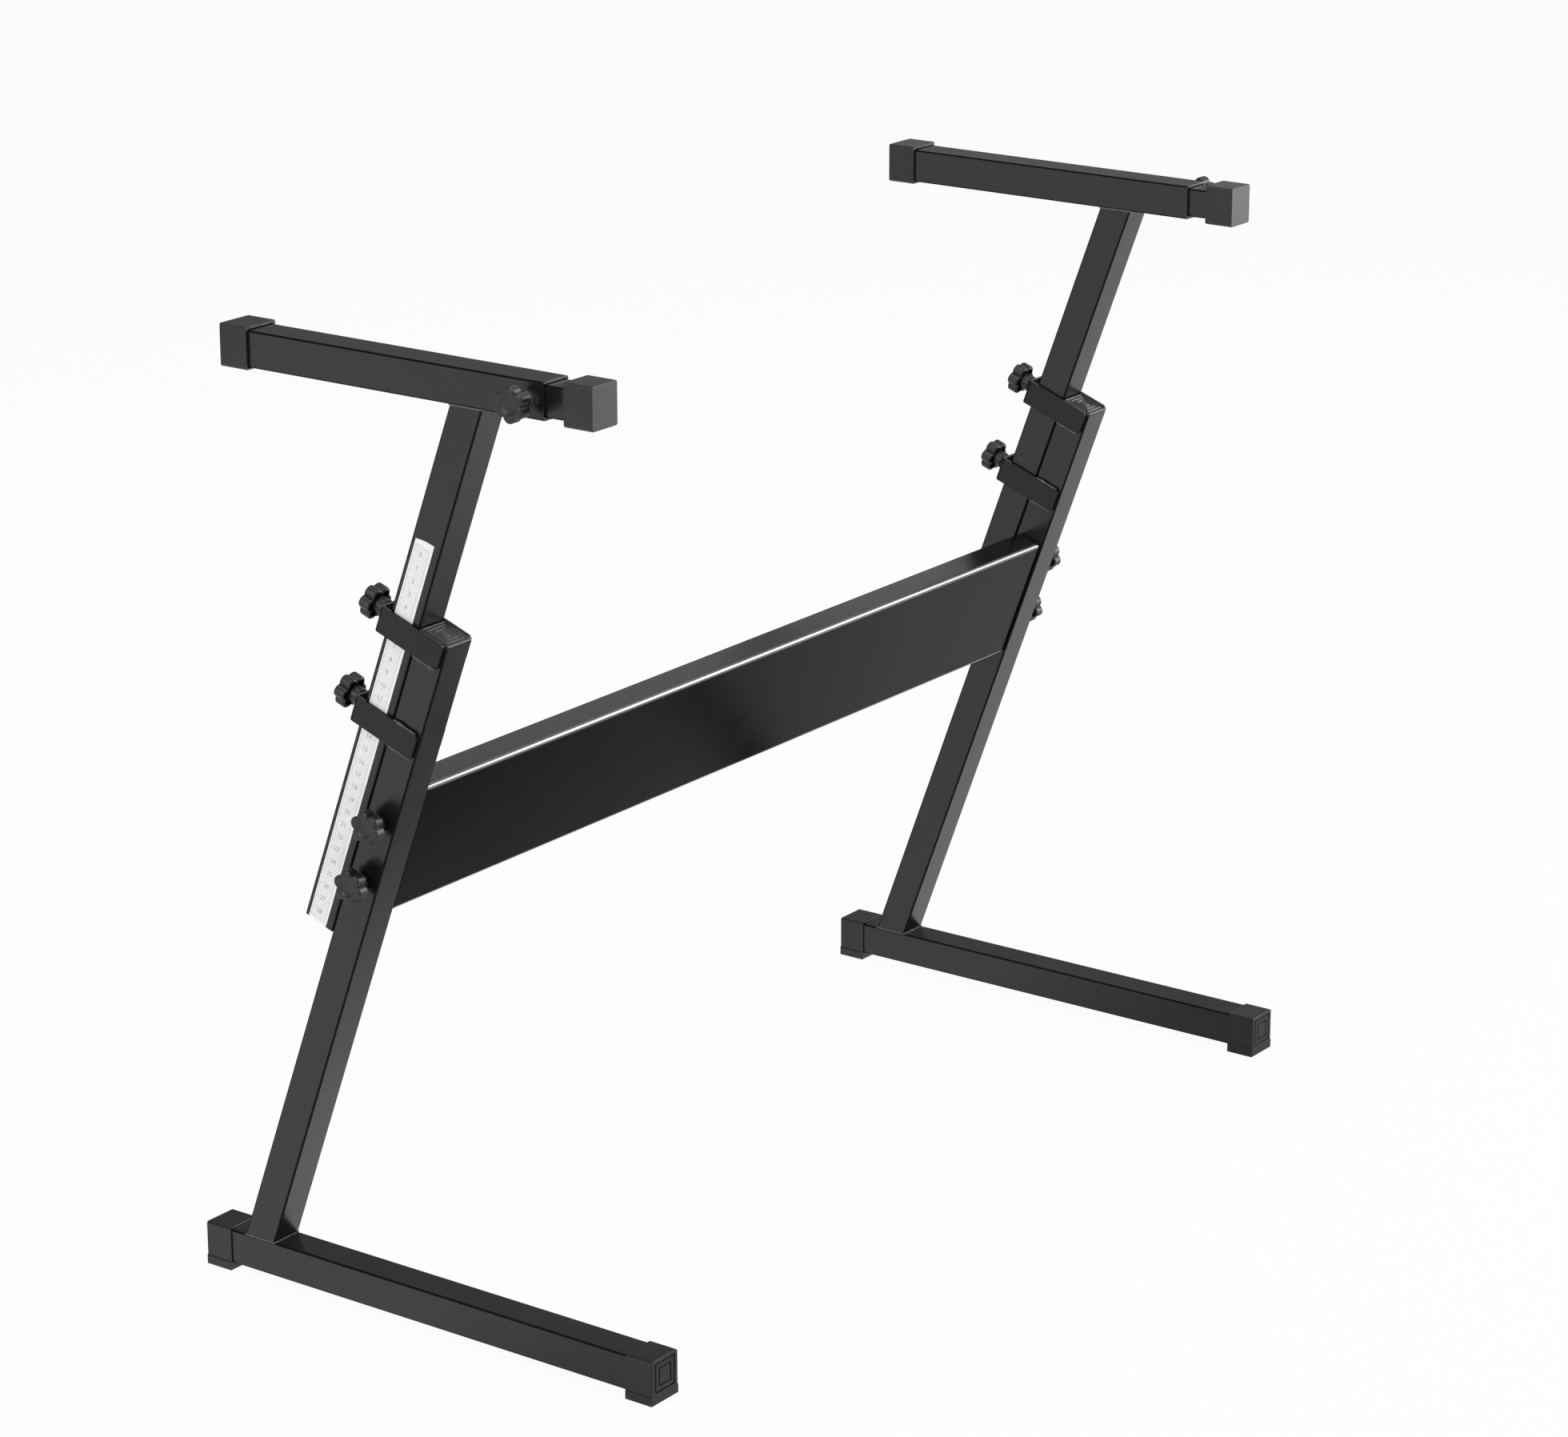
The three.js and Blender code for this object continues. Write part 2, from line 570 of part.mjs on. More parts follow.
function addSide(name, side) {
  const centre = shiftX(side * SIDE_CENTRE);
  const inLeg = centre.clone().multiply(LEG_FRAME);

  add(`${name}_foot_tube`, footTube(), blackPaint, centre);
  add(`${name}_foot_cap_front`, footCap(), blackPlastic, centre);
  const turned = centre.clone().multiply(new THREE.Matrix4().makeRotationZ(Math.PI));
  add(`${name}_foot_cap_rear`, footCap(), blackPlastic, turned);
  add(`${name}_lower_leg`, lowerLeg(), blackPaint, centre);
  add(`${name}_leg_plug`, legPlug(), blackPlastic, inLeg);
  add(`${name}_upper_leg`, upperLeg(), blackPaint, centre);

  add(`${name}_height_scale`, heightScale(side), whitePrint, inLeg);

  const clamps = [["upper", UPPER_CLAMP], ["lower", LOWER_CLAMP]];
  for (const [level, height] of clamps) {
    add(`${name}_${level}_bracket`, clampBracket(height), blackPaint, inLeg);
    const axis = inLeg.clone().multiply(clampAxis(height));
    const knobBack = BRACKET_BACK + CLAMP_STANDOFF + KNOB_NECK;
    const nutStart = BRACKET_BACK - BRACKET_PLATE - NUT_THICKNESS - SEAT_GAP;
    addClamp(`${name}_${level}_clamp`, axis, knobBack, SEAM + TUBE + SEAT_GAP, nutStart);
  }

  const bolts = [["upper", 1], ["lower", -1]];
  for (const [level, sign] of bolts) {
    const height = PANEL_CENTRE + (sign * BOLT_SPACING) / 2;
    const axis = outwardFrame(side, legPoint(side * HALF_SPAN, TUBE / 2, height));
    const nutStart = -TUBE - SEAT_GAP - PANEL_PLATE - SEAT_GAP - NUT_THICKNESS;
    const studTip = nutStart - STUD_RADIUS;
    addClamp(`${name}_${level}_panel`, axis, PANEL_STANDOFF + KNOB_NECK, studTip, nutStart);
  }

  add(`${name}_arm_tube`, armTube(side), blackPaint, centre);
  add(`${name}_arm_extension`, armExtension(), blackPaint, centre);
  const frontEnd = ARM_FRONT - EXTENSION_SHOWN - BOOT_LENGTH;
  add(`${name}_boot_front`, boot(EXTENSION, frontEnd, 1), blackRubber, centre);
  const rearEnd = ARM_BACK + SEAT_GAP + BOOT_END_WALL;
  add(`${name}_boot_rear`, boot(TUBE, rearEnd, -1), blackRubber, centre);
  const armPlace = new THREE.Vector3(side * HALF_SPAN, ARM_FRONT + ARM_KNOB_FROM_END, ARM_CENTRE_Z);
  const armNut = SEAT_GAP;
  const armKnob = armNut + NUT_THICKNESS + ARM_STANDOFF + KNOB_NECK;
  const armTip = -(TUBE - EXTENSION) / 2 + SEAT_GAP;
  addClamp(`${name}_arm`, outwardFrame(side, armPlace), armKnob, armTip, armNut);
}

addSide("left", -1);
addSide("right", 1);
add("crossbar", crossbar(), blackPaint);

export default group;
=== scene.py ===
"""Looks of a Z-frame keyboard stand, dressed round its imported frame.

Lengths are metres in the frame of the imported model: +X to the player's right,
+Y away from the player, +Z up, floor at Z = 0.
"""

import logging
import math
from collections.abc import Sequence
from dataclasses import dataclass, field
from enum import Enum

import bmesh
import bpy
from mathutils import Matrix, Vector


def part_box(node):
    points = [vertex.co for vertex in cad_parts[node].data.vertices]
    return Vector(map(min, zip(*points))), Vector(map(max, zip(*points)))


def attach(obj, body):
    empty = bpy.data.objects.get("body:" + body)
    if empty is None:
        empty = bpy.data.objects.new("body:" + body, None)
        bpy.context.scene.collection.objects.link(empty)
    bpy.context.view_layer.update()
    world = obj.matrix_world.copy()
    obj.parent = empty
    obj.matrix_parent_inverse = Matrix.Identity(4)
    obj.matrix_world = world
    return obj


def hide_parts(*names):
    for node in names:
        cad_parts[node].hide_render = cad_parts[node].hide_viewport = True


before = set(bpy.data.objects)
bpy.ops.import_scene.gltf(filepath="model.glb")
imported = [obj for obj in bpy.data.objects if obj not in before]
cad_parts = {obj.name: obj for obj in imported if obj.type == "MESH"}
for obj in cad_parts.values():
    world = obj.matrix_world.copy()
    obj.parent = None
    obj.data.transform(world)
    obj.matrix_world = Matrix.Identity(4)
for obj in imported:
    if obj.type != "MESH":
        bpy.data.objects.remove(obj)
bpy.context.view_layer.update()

LOG = logging.getLogger("keyboard_stand")
MM = 0.001
JOIN_DISTANCE = 1e-6
SHARP_EDGE = math.radians(48)
FLAT_EDGE = math.radians(0.6)
BEND_TILT, END_TILT, SQUARE_ON = 0.12, 0.3, 0.99

Point = tuple[float, float, float]
Spot = tuple[float, float]
Colour = tuple[float, float, float]


# ---------------------------------------------------------------------------
# Named choices
# ---------------------------------------------------------------------------


class Side(Enum):
    """A side of the stand, with the sign of its X."""

    LEFT = -1
    RIGHT = 1

    @property
    def label(self) -> str:
        """The side's name as its nodes begin with it."""
        return self.name.lower()


class End(Enum):
    """An end of a foot or an arm: the front is the player's."""

    FRONT = 1
    REAR = -1

    @property
    def label(self) -> str:
        """The end's name as it stands in the nodes' names."""
        return self.name.lower()


class Fastening(Enum):
    """The knob places of one side, named as their nodes are."""

    UPPER_CLAMP = "upper_clamp"
    LOWER_CLAMP = "lower_clamp"
    UPPER_PANEL = "upper_panel"
    LOWER_PANEL = "lower_panel"
    ARM = "arm"


class Slot(Enum):
    """The record's material slots."""

    COAT = "black_powder_coat"
    PLASTIC = "black_plastic"
    RUBBER = "black_rubber"
    ZINC = "zinc_steel"
    PRINT = "white_print"


# ---------------------------------------------------------------------------
# Driving sizes
# ---------------------------------------------------------------------------


@dataclass(frozen=True)
class StandSizes:
    """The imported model's sizes that its looks hang on."""

    tube: float = 25 * MM
    tube_wall: float = 1.5 * MM
    seat_gap: float = 0.2 * MM
    slide_gap: float = 0.4 * MM
    span: float = 789 * MM
    lean: float = math.radians(20.2)
    foot_length: float = 392.2 * MM
    foot_clearance: float = 5.5 * MM
    leg_setback: float = 62.1 * MM
    lower_leg: float = 486 * MM
    plug_head: float = 3.8 * MM
    plug_lip: float = 2 * MM
    upper_leg_start: float = 249 * MM
    upper_leg: float = 403.4 * MM
    bracket_plate: float = 2 * MM
    bracket_height: float = 19 * MM
    bracket_spacing: float = 69.3 * MM
    clamp_space: float = 5.2 * MM
    panel_below_clamp: float = 39 * MM
    panel_height: float = 100 * MM
    bolt_spacing: float = 47 * MM
    arm_overhang: float = 50 * MM
    arm_knob_from_end: float = 12 * MM
    arm_nut: float = 4.5 * MM

    def side_x(self, side: Side) -> float:
        """X of a side frame's middle plane."""
        return side.value * (self.span - self.tube) / 2

    @property
    def foot_top(self) -> float:
        """Height of the foot tube's top."""
        return self.foot_clearance + self.tube

    @property
    def extension(self) -> float:
        """Outside of the tube that slides in the arm."""
        return self.tube - 2 * self.tube_wall - 2 * self.slide_gap

    @property
    def seam(self) -> float:
        """Depth at which the upper leg starts behind the lower one."""
        return self.tube + self.seat_gap

    @property
    def bracket_back(self) -> float:
        """Depth of a bracket's rear face."""
        return self.seam + self.tube + self.clamp_space + self.bracket_plate

    @property
    def upper_clamp(self) -> float:
        """Place of the upper bracket's middle along the leg."""
        return self.lower_leg + self.plug_head - self.bracket_height / 2

    @property
    def lower_clamp(self) -> float:
        """Place of the lower bracket's middle along the leg."""
        return self.upper_clamp - self.bracket_spacing

    @property
    def panel_centre(self) -> float:
        """Place of the crossbar's middle along the leg."""
        return self.lower_clamp - self.panel_below_clamp - self.panel_height / 2

    @property
    def leg_frame(self) -> Matrix:
        """Leg coordinates (x, depth, along) to the model's frame, at X = 0."""
        place = Vector((0, self.foot_length / 2 - self.leg_setback, self.foot_top))
        return Matrix.Translation(place) @ Matrix.Rotation(self.lean, 4, "X")

    @property
    def arm_bottom(self) -> float:
        """Height of the arm tube's underside."""
        return self.leg_point(0, self.seam, self.upper_leg_start + self.upper_leg).z

    @property
    def arm_front(self) -> float:
        """Y of the arm tube's front end."""
        top = self.leg_point(0, self.seam, self.upper_leg_start + self.upper_leg)
        return top.y - self.arm_overhang

    def leg_point(self, x: float, depth: float, along: float) -> Vector:
        """A place in the model's frame.

        Args:
            x: distance from the middle of the stand.
            depth: distance behind the lower leg's front face.
            along: distance up along the leg from the foot.

        Returns:
            The point in the model's frame.
        """
        return self.leg_frame @ Vector((x, depth, along))

    def fastening_axis(self, side: Side, place: Fastening) -> Matrix:
        """The axis on which a knob and its stud sit.

        Args:
            side: side of the stand.
            place: which of the side's knobs.

        Returns:
            A frame whose origin lies on the face that the knob stands off and whose Z leaves it.
        """
        x = self.side_x(side)
        if place in (Fastening.UPPER_CLAMP, Fastening.LOWER_CLAMP):
            along = self.upper_clamp if place is Fastening.UPPER_CLAMP else self.lower_clamp
            spot = Matrix.Translation((x, self.bracket_back, along))
            return self.leg_frame @ spot @ Matrix.Rotation(-math.pi / 2, 4, "X")
        outer = side.value * self.span / 2
        if place is Fastening.ARM:
            from_front = self.arm_front + self.arm_knob_from_end
            spot = Vector((outer, from_front, self.arm_bottom + self.tube / 2))
        else:
            sign = 1 if place is Fastening.UPPER_PANEL else -1
            along = self.panel_centre + sign * self.bolt_spacing / 2
            spot = self.leg_point(outer, self.tube / 2, along)
        return Matrix.Translation(spot) @ Matrix.Rotation(side.value * math.pi / 2, 4, "Y")


# ---------------------------------------------------------------------------
# Node helpers
# ---------------------------------------------------------------------------


class NodeSheet:
    """Adds and links nodes in one tree."""

    def __init__(self, tree: bpy.types.NodeTree) -> None:
        """Keeps the tree to work in."""
        self.tree = tree

    def add(
        self, kind: str, inputs: dict[str | int, object] | None = None, **settings: object
    ) -> bpy.types.Node:
        """Adds a node.

        Args:
            kind: Blender's node type.
            inputs: what to feed into each input, by its name or index.
            settings: properties to set on the node.

        Returns:
            The new node.
        """
        node = self.tree.nodes.new(kind)
        for name, value in settings.items():
            setattr(node, name, value)
        for name, value in (inputs or {}).items():
            self.feed(node.inputs[name], value)
        return node

    def feed(self, socket: bpy.types.NodeSocket, value: object) -> None:
        """Links or sets an input socket.

        Args:
            socket: input socket.
            value: an output, a node for its first output, or a constant.
        """
        if isinstance(value, bpy.types.Node):
            value = value.outputs[0]
        if isinstance(value, bpy.types.NodeSocket):
            self.tree.links.new(value, socket)
        else:
            socket.default_value = value

    def math(self, operation: str, *values: object) -> bpy.types.Node:
        """Adds a Math node.

        Args:
            operation: Blender's operation name.
            values: its inputs.

        Returns:
            The node.
        """
        return self.add("ShaderNodeMath", dict(enumerate(values)), operation=operation)


# ---------------------------------------------------------------------------
# Finishes
# ---------------------------------------------------------------------------


@dataclass(frozen=True)
class Finish:
    """A procedural surface: colour, sheen, mottling and fine grain."""

    name: str
    slot: Slot
    colour: Colour
    roughness: float
    metallic: float = 0.0
    mottle: float = 0.12
    mottle_scale: float = 22.0
    roughness_swing: float = 0.05
    grain_scale: float = 1500.0
    grain_depth: float = 0.02 * MM
    peel_scale: float = 260.0
    peel_depth: float = 0.012 * MM
    cloud_range: tuple[float, float] = (0.3, 0.7)
    specular: float = 0.5
    coat: float = 0.0
    coat_roughness: float = 0.2

    def material(self) -> bpy.types.Material:
        """Builds the material.

        Returns:
            A material whose pattern lies on the piece's own coordinates.
        """
        known = bpy.data.materials.get(self.name)
        if known is not None:
            return known
        made = bpy.data.materials.new(self.name)
        made.use_nodes = True
        made.diffuse_color = (*self.colour, 1.0)
        sheet = NodeSheet(made.node_tree)
        shader = made.node_tree.nodes["Principled BSDF"]
        constants = {
            "Metallic": self.metallic, "Specular IOR Level": self.specular,
            "Coat Weight": self.coat, "Coat Roughness": self.coat_roughness,
        }
        for name, value in constants.items():
            shader.inputs[name].default_value = value
        place = sheet.add("ShaderNodeTexCoord").outputs["Object"]
        self.dress_colour(sheet, shader, place)
        self.dress_relief(sheet, shader, place)
        return made

    def dress_colour(
        self, sheet: NodeSheet, shader: bpy.types.Node, place: bpy.types.NodeSocket
    ) -> None:
        """Mottles the colour and the roughness.

        Args:
            sheet: the material's nodes.
            shader: its Principled shader.
            place: object coordinates.
        """
        low, high = self.cloud_range
        noise = {"Vector": place, "Scale": self.mottle_scale, "Detail": 5.0}
        cloud = sheet.add("ShaderNodeTexNoise", noise).outputs["Fac"]
        ramp = sheet.add("ShaderNodeValToRGB", {"Fac": cloud})
        for element, position, share in zip(
            ramp.color_ramp.elements, (low, high), (1 - self.mottle, 1 + self.mottle)
        ):
            element.position = position
            element.color = (*(c * share for c in self.colour), 1)
        spread = sheet.add("ShaderNodeMapRange", {
            "Value": cloud, "From Min": low, "From Max": high,
            "To Min": self.roughness - self.roughness_swing,
            "To Max": self.roughness + self.roughness_swing,
        })
        sheet.feed(shader.inputs["Base Color"], ramp)
        sheet.feed(shader.inputs["Roughness"], spread)

    def dress_relief(
        self, sheet: NodeSheet, shader: bpy.types.Node, place: bpy.types.NodeSocket
    ) -> None:
        """Adds fine grain over a broader, softer unevenness.

        Args:
            sheet: the material's nodes.
            shader: its Principled shader.
            place: object coordinates.
        """
        below: dict[str | int, object] = {}
        for scale, depth in (
            (self.peel_scale, self.peel_depth), (self.grain_scale, self.grain_depth)
        ):
            inputs = {"Vector": place, "Scale": scale, "Detail": 2.0}
            height = sheet.add("ShaderNodeTexNoise", inputs).outputs["Fac"]
            relief = {"Strength": 1.0, "Distance": depth, "Height": height, **below}
            below = {"Normal": sheet.add("ShaderNodeBump", relief)}
        sheet.feed(shader.inputs["Normal"], below["Normal"])


POWDER_COAT = Finish(
    "satin_powder_coat", Slot.COAT, (0.0075, 0.0075, 0.008), 0.24, roughness_swing=0.03
)
PRESSED_COAT = Finish(
    "pressed_powder_coat", Slot.COAT, (0.006, 0.006, 0.0065), 0.2,
    roughness_swing=0.03, specular=0.32,
)
# Painted shade: a darker, barely glossy copy of the powder coat on the crossbar's faces, standing
# in for the shadow and dark reflection on the panel.
PANEL_PAINTED_SHADE_COAT = Finish(
    "panel_powder_coat", Slot.COAT, (0.003, 0.003, 0.0034), 0.22,
    roughness_swing=0.03, specular=0.08,
)
# Painted highlight: a lighter, far glossier copy of the powder coat on the crossbar's bends, so
# that the strip along its top bend shines brighter.
PANEL_BEND_PAINTED_HIGHLIGHT_COAT = Finish(
    "panel_bend_powder_coat", Slot.COAT, (0.02, 0.02, 0.021), 0.3, roughness_swing=0.04,
    specular=1.0, coat=0.8, coat_roughness=0.22,
)
# Painted shade: a darker, duller copy of the powder coat on the bends of tubes and brackets,
# standing in for the dark reflection along their corners.
BEND_PAINTED_SHADE_COAT = Finish(
    "bend_powder_coat", Slot.COAT, (0.0035, 0.0035, 0.0038), 0.36,
    roughness_swing=0.03, specular=0.1,
)
# Painted highlight: the weld beads are coated ten times lighter and glossier than the frame,
# standing in for the light line along the seams.
WELD_PAINTED_HIGHLIGHT_COAT = Finish(
    "weld_powder_coat", Slot.COAT, (0.075, 0.075, 0.078), 0.28, roughness_swing=0.06, specular=0.7
)
KNOB_PLASTIC = Finish(
    "knob_plastic", Slot.PLASTIC, (0.011, 0.011, 0.0115), 0.42, mottle=0.15, grain_depth=0.008 * MM
)
CAP_PLASTIC = Finish(
    "cap_plastic", Slot.PLASTIC, (0.009, 0.009, 0.0095), 0.36, grain_depth=0.02 * MM
)
BOOT_RUBBER = Finish(
    "boot_rubber", Slot.RUBBER, (0.021, 0.021, 0.023), 0.42, mottle=0.2, grain_depth=0.03 * MM
)
ZINC = Finish(
    "zinc_plate", Slot.ZINC, (0.56, 0.57, 0.6), 0.3, metallic=1.0, mottle=0.1, mottle_scale=120.0
)
FILM = Finish(
    "printed_film", Slot.PRINT, (0.82, 0.82, 0.82), 0.42, mottle=0.03, mottle_scale=420.0,
    grain_depth=0.004 * MM, peel_depth=0.004 * MM,
)
FILM_FIELD = Finish(
    "printed_film_field", Slot.PRINT, (0.76, 0.76, 0.76), 0.42, mottle=0.06, mottle_scale=620.0,
    grain_depth=0.004 * MM, peel_depth=0.004 * MM,
)
SCALE_INK = Finish(
    "scale_ink", Slot.PRINT, (0.32, 0.32, 0.33), 0.5, mottle=0.25, mottle_scale=500.0,
    grain_depth=0.0, peel_depth=0.0,
)


# ---------------------------------------------------------------------------
# Mesh workshop
# ---------------------------------------------------------------------------


def set_down(name: str, data: bpy.types.ID) -> bpy.types.Object:
    """Adds an object to the scene.

    Args:
        name: name of the object.
        data: its mesh, text, lamp or camera.

    Returns:
        The object, at the origin.
    """
    holder = bpy.data.objects.new(name, data)
    bpy.context.scene.collection.objects.link(holder)
    return holder


def taken_mesh(holder: bpy.types.Object, name: str) -> bpy.types.Mesh:
    """Takes the evaluated mesh of an object and removes the object.

    Args:
        holder: a mesh object with its modifier, or a text.
        name: name of the mesh.

    Returns:
        The plain mesh.
    """
    graph = bpy.context.evaluated_depsgraph_get()
    mesh = bpy.data.meshes.new_from_object(holder.evaluated_get(graph), depsgraph=graph)
    holder.modifiers.clear()
    bpy.data.objects.remove(holder)
    mesh.name = name
    return mesh


def place_mesh(
    name: str, mesh: bpy.types.Mesh, finish: Finish, body: str, *replaced: str, crease: float = 32.0
) -> None:
    """Makes a finished piece of a mesh that already lies in its place.

    Args:
        name: name of the piece.
        mesh: its mesh, in the model's frame.
        finish: its surface.
        body: body that it rides on.
        replaced: nodes that it stands for.
        crease: angle in degrees above which an edge stays sharp.
    """
    mesh.name = name
    if not mesh.materials:
        mesh.materials.append(finish.material())
    for polygon in mesh.polygons:
        polygon.use_smooth = True
    mesh.set_sharp_from_angle(angle=math.radians(crease))
    piece = set_down(name, mesh)
    piece.modifiers.new("even_shading", "WEIGHTED_NORMAL").keep_sharp = True
    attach(piece, body)
    if replaced:
        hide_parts(*replaced)
    LOG.info("%s: %d faces on %s", name, len(mesh.polygons), body)


def mesh_from(form: bmesh.types.BMesh, name: str, outward: bool = True) -> bpy.types.Mesh:
    """Turns an edit mesh into a mesh and frees it.

    Args:
        form: the edit mesh.
        name: name of the mesh.
        outward: whether to turn all faces outward first.

    Returns:
        The mesh.
    """
    if outward:
        bmesh.ops.recalc_face_normals(form, faces=form.faces)
    mesh = bpy.data.meshes.new(name)
    form.to_mesh(mesh)
    form.free()
    return mesh


@dataclass(frozen=True)
class BendRun:
    """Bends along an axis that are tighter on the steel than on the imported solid.

    The axis's X and Y lie across the section and its Z along it.
    """

    axis: Matrix
    half: Spot
    packed: float
    real: float
    both_ends: bool = True
    slack: float = 0.005 * MM
    inner_skin: float = 0.1 * MM

    def tighten(self, form: bmesh.types.BMesh) -> None:
        """Moves the bends' points out to the smaller radius.

        Args:
            form: edit mesh in the model's frame.
        """
        gain = self.packed - self.real
        back = self.axis.inverted()
        for vert in form.verts:
            spot = back @ vert.co
            out = [abs(spot[i]) - (self.half[i] - self.packed) for i in (0, 1)]
            reach = math.hypot(*out)
            if min(out) < -self.slack or reach < gain + self.inner_skin:
                continue
            if spot.y < 0 and not self.both_ends:
                continue
            for i in (0, 1):
                place = self.half[i] - self.real + out[i] * (reach - gain) / reach
                spot[i] = math.copysign(place, spot[i])
            vert.co = self.axis @ spot


def dress_bends(
    mesh: bpy.types.Mesh, axis: Matrix, flat: Finish, bend: Finish, across: Finish | None = None
) -> None:
    """Gives the flat faces and the bends along an axis a finish each; the bends' finish carries
    painted shade or a painted highlight.

    Args:
        mesh: mesh in the model's frame.
        axis: the bends' frame, with its Z along them.
        flat: finish of the flat faces.
        bend: finish of the bends, a copy of the coat with painted shade or a painted highlight.
        across: finish of the flat faces square to the frame's X, if another.
    """
    for kind in filter(None, (flat, bend, across)):
        mesh.materials.append(kind.material())
    turn = axis.to_3x3().inverted()
    for polygon in mesh.polygons:
        facing = turn @ polygon.normal
        # Faces across the bends take the bend finish, with its painted shade or painted highlight.
        bent = min(abs(facing.x), abs(facing.y)) > BEND_TILT and abs(facing.z) < END_TILT
        polygon.material_index = 2 if across and abs(facing.x) > SQUARE_ON else int(bent)


def refined_copy(node: str, edge_round: float, bends: BendRun | None = None) -> bpy.types.Mesh:
    """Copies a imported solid, joins its loose faces and breaks its sharp edges.

    Args:
        node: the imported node.
        edge_round: width of the small round on each sharp edge.
        bends: bends to tighten, if any.

    Returns:
        The refined mesh.
    """
    form = bmesh.new()
    form.from_mesh(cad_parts[node].data)
    bmesh.ops.remove_doubles(form, verts=form.verts, dist=2 * JOIN_DISTANCE)
    if bends is not None:
        bends.tighten(form)
    bmesh.ops.dissolve_limit(form, angle_limit=FLAT_EDGE, verts=form.verts, edges=form.edges)
    sharp = [e for e in form.edges if len(e.link_faces) == 2 and e.calc_face_angle() > SHARP_EDGE]
    bmesh.ops.bevel(
        form, geom=sharp, offset=edge_round, offset_type="OFFSET", segments=2, profile=0.5,
        affect="EDGES", clamp_overlap=True,
    )
    return mesh_from(form, f"{node}_refined", outward=False)


def rounded_rectangle(width: float, height: float, radius: float, steps: int = 5) -> list[Spot]:
    """A path round a rectangle with round corners.

    Args:
        width: full width.
        height: full height.
        radius: corner radius.
        steps: segments in each corner.

    Returns:
        Points in order, anticlockwise.
    """
    points = []
    for index, (sx, sy) in enumerate(((1, 1), (-1, 1), (-1, -1), (1, -1))):
        for step in range(steps + 1):
            angle = (index + step / steps) * math.pi / 2
            x = sx * (width / 2 - radius) + radius * math.cos(angle)
            y = sy * (height / 2 - radius) + radius * math.sin(angle)
            points.append((x, y))
    return points


@dataclass(frozen=True)
class Terrace:
    """One outline of a stepped block: its size, corner, height and sideways shift."""

    width: float
    depth: float
    radius: float
    height: float
    shift: float = 0.0

    def outline(self, steps: int) -> list[Spot]:
        """The outline's points, with this many segments in each corner."""
        path = rounded_rectangle(self.width, self.depth, self.radius, steps)
        return [(x, y + self.shift) for x, y in path]


def lofted(rings: Sequence[Sequence[Point]]) -> bmesh.types.BMesh:
    """Joins rings of as many points each into a closed block.

    Args:
        rings: the rings in order, from one closed end to the other.

    Returns:
        The edit mesh.
    """
    form = bmesh.new()
    loops = [[form.verts.new(point) for point in ring] for ring in rings]
    for low, high in zip(loops, loops[1:]):
        count = len(low)
        for index in range(count):
            after = (index + 1) % count
            form.faces.new((low[index], low[after], high[after], high[index]))
    form.faces.new(loops[0])
    form.faces.new(loops[-1])
    return form


def terraced_block(terraces: Sequence[Terrace], steps: int = 5) -> bmesh.types.BMesh:
    """Lofts a closed block through stacked rounded rectangles.

    Args:
        terraces: outlines in order, from one closed end to the other.
        steps: segments in each corner.

    Returns:
        The edit mesh, its stack along +Z.
    """
    return lofted([[(x, y, level.height) for x, y in level.outline(steps)] for level in terraces])


def plate(points: Sequence[Spot], thickness: float) -> bmesh.types.BMesh:
    """A thin plate whose outline lies across X.

    Args:
        points: depth and height of the outline's points.
        thickness: how far it reaches along X, negative for the other way.

    Returns:
        The edit mesh, starting at X = 0.
    """
    return lofted([[(x, y, z) for y, z in points] for x in (0.0, thickness)])


def arc(centre: Spot, radius: float, start: float, end: float, steps: int) -> list[Spot]:
    """Points on an arc.

    Args:
        centre: its centre.
        radius: its radius.
        start: first angle in degrees.
        end: last angle in degrees.
        steps: number of segments.

    Returns:
        Points from start to end, both included.
    """
    points = []
    for step in range(steps + 1):
        angle = math.radians(start + (end - start) * step / steps)
        points.append((centre[0] + radius * math.cos(angle), centre[1] + radius * math.sin(angle)))
    return points


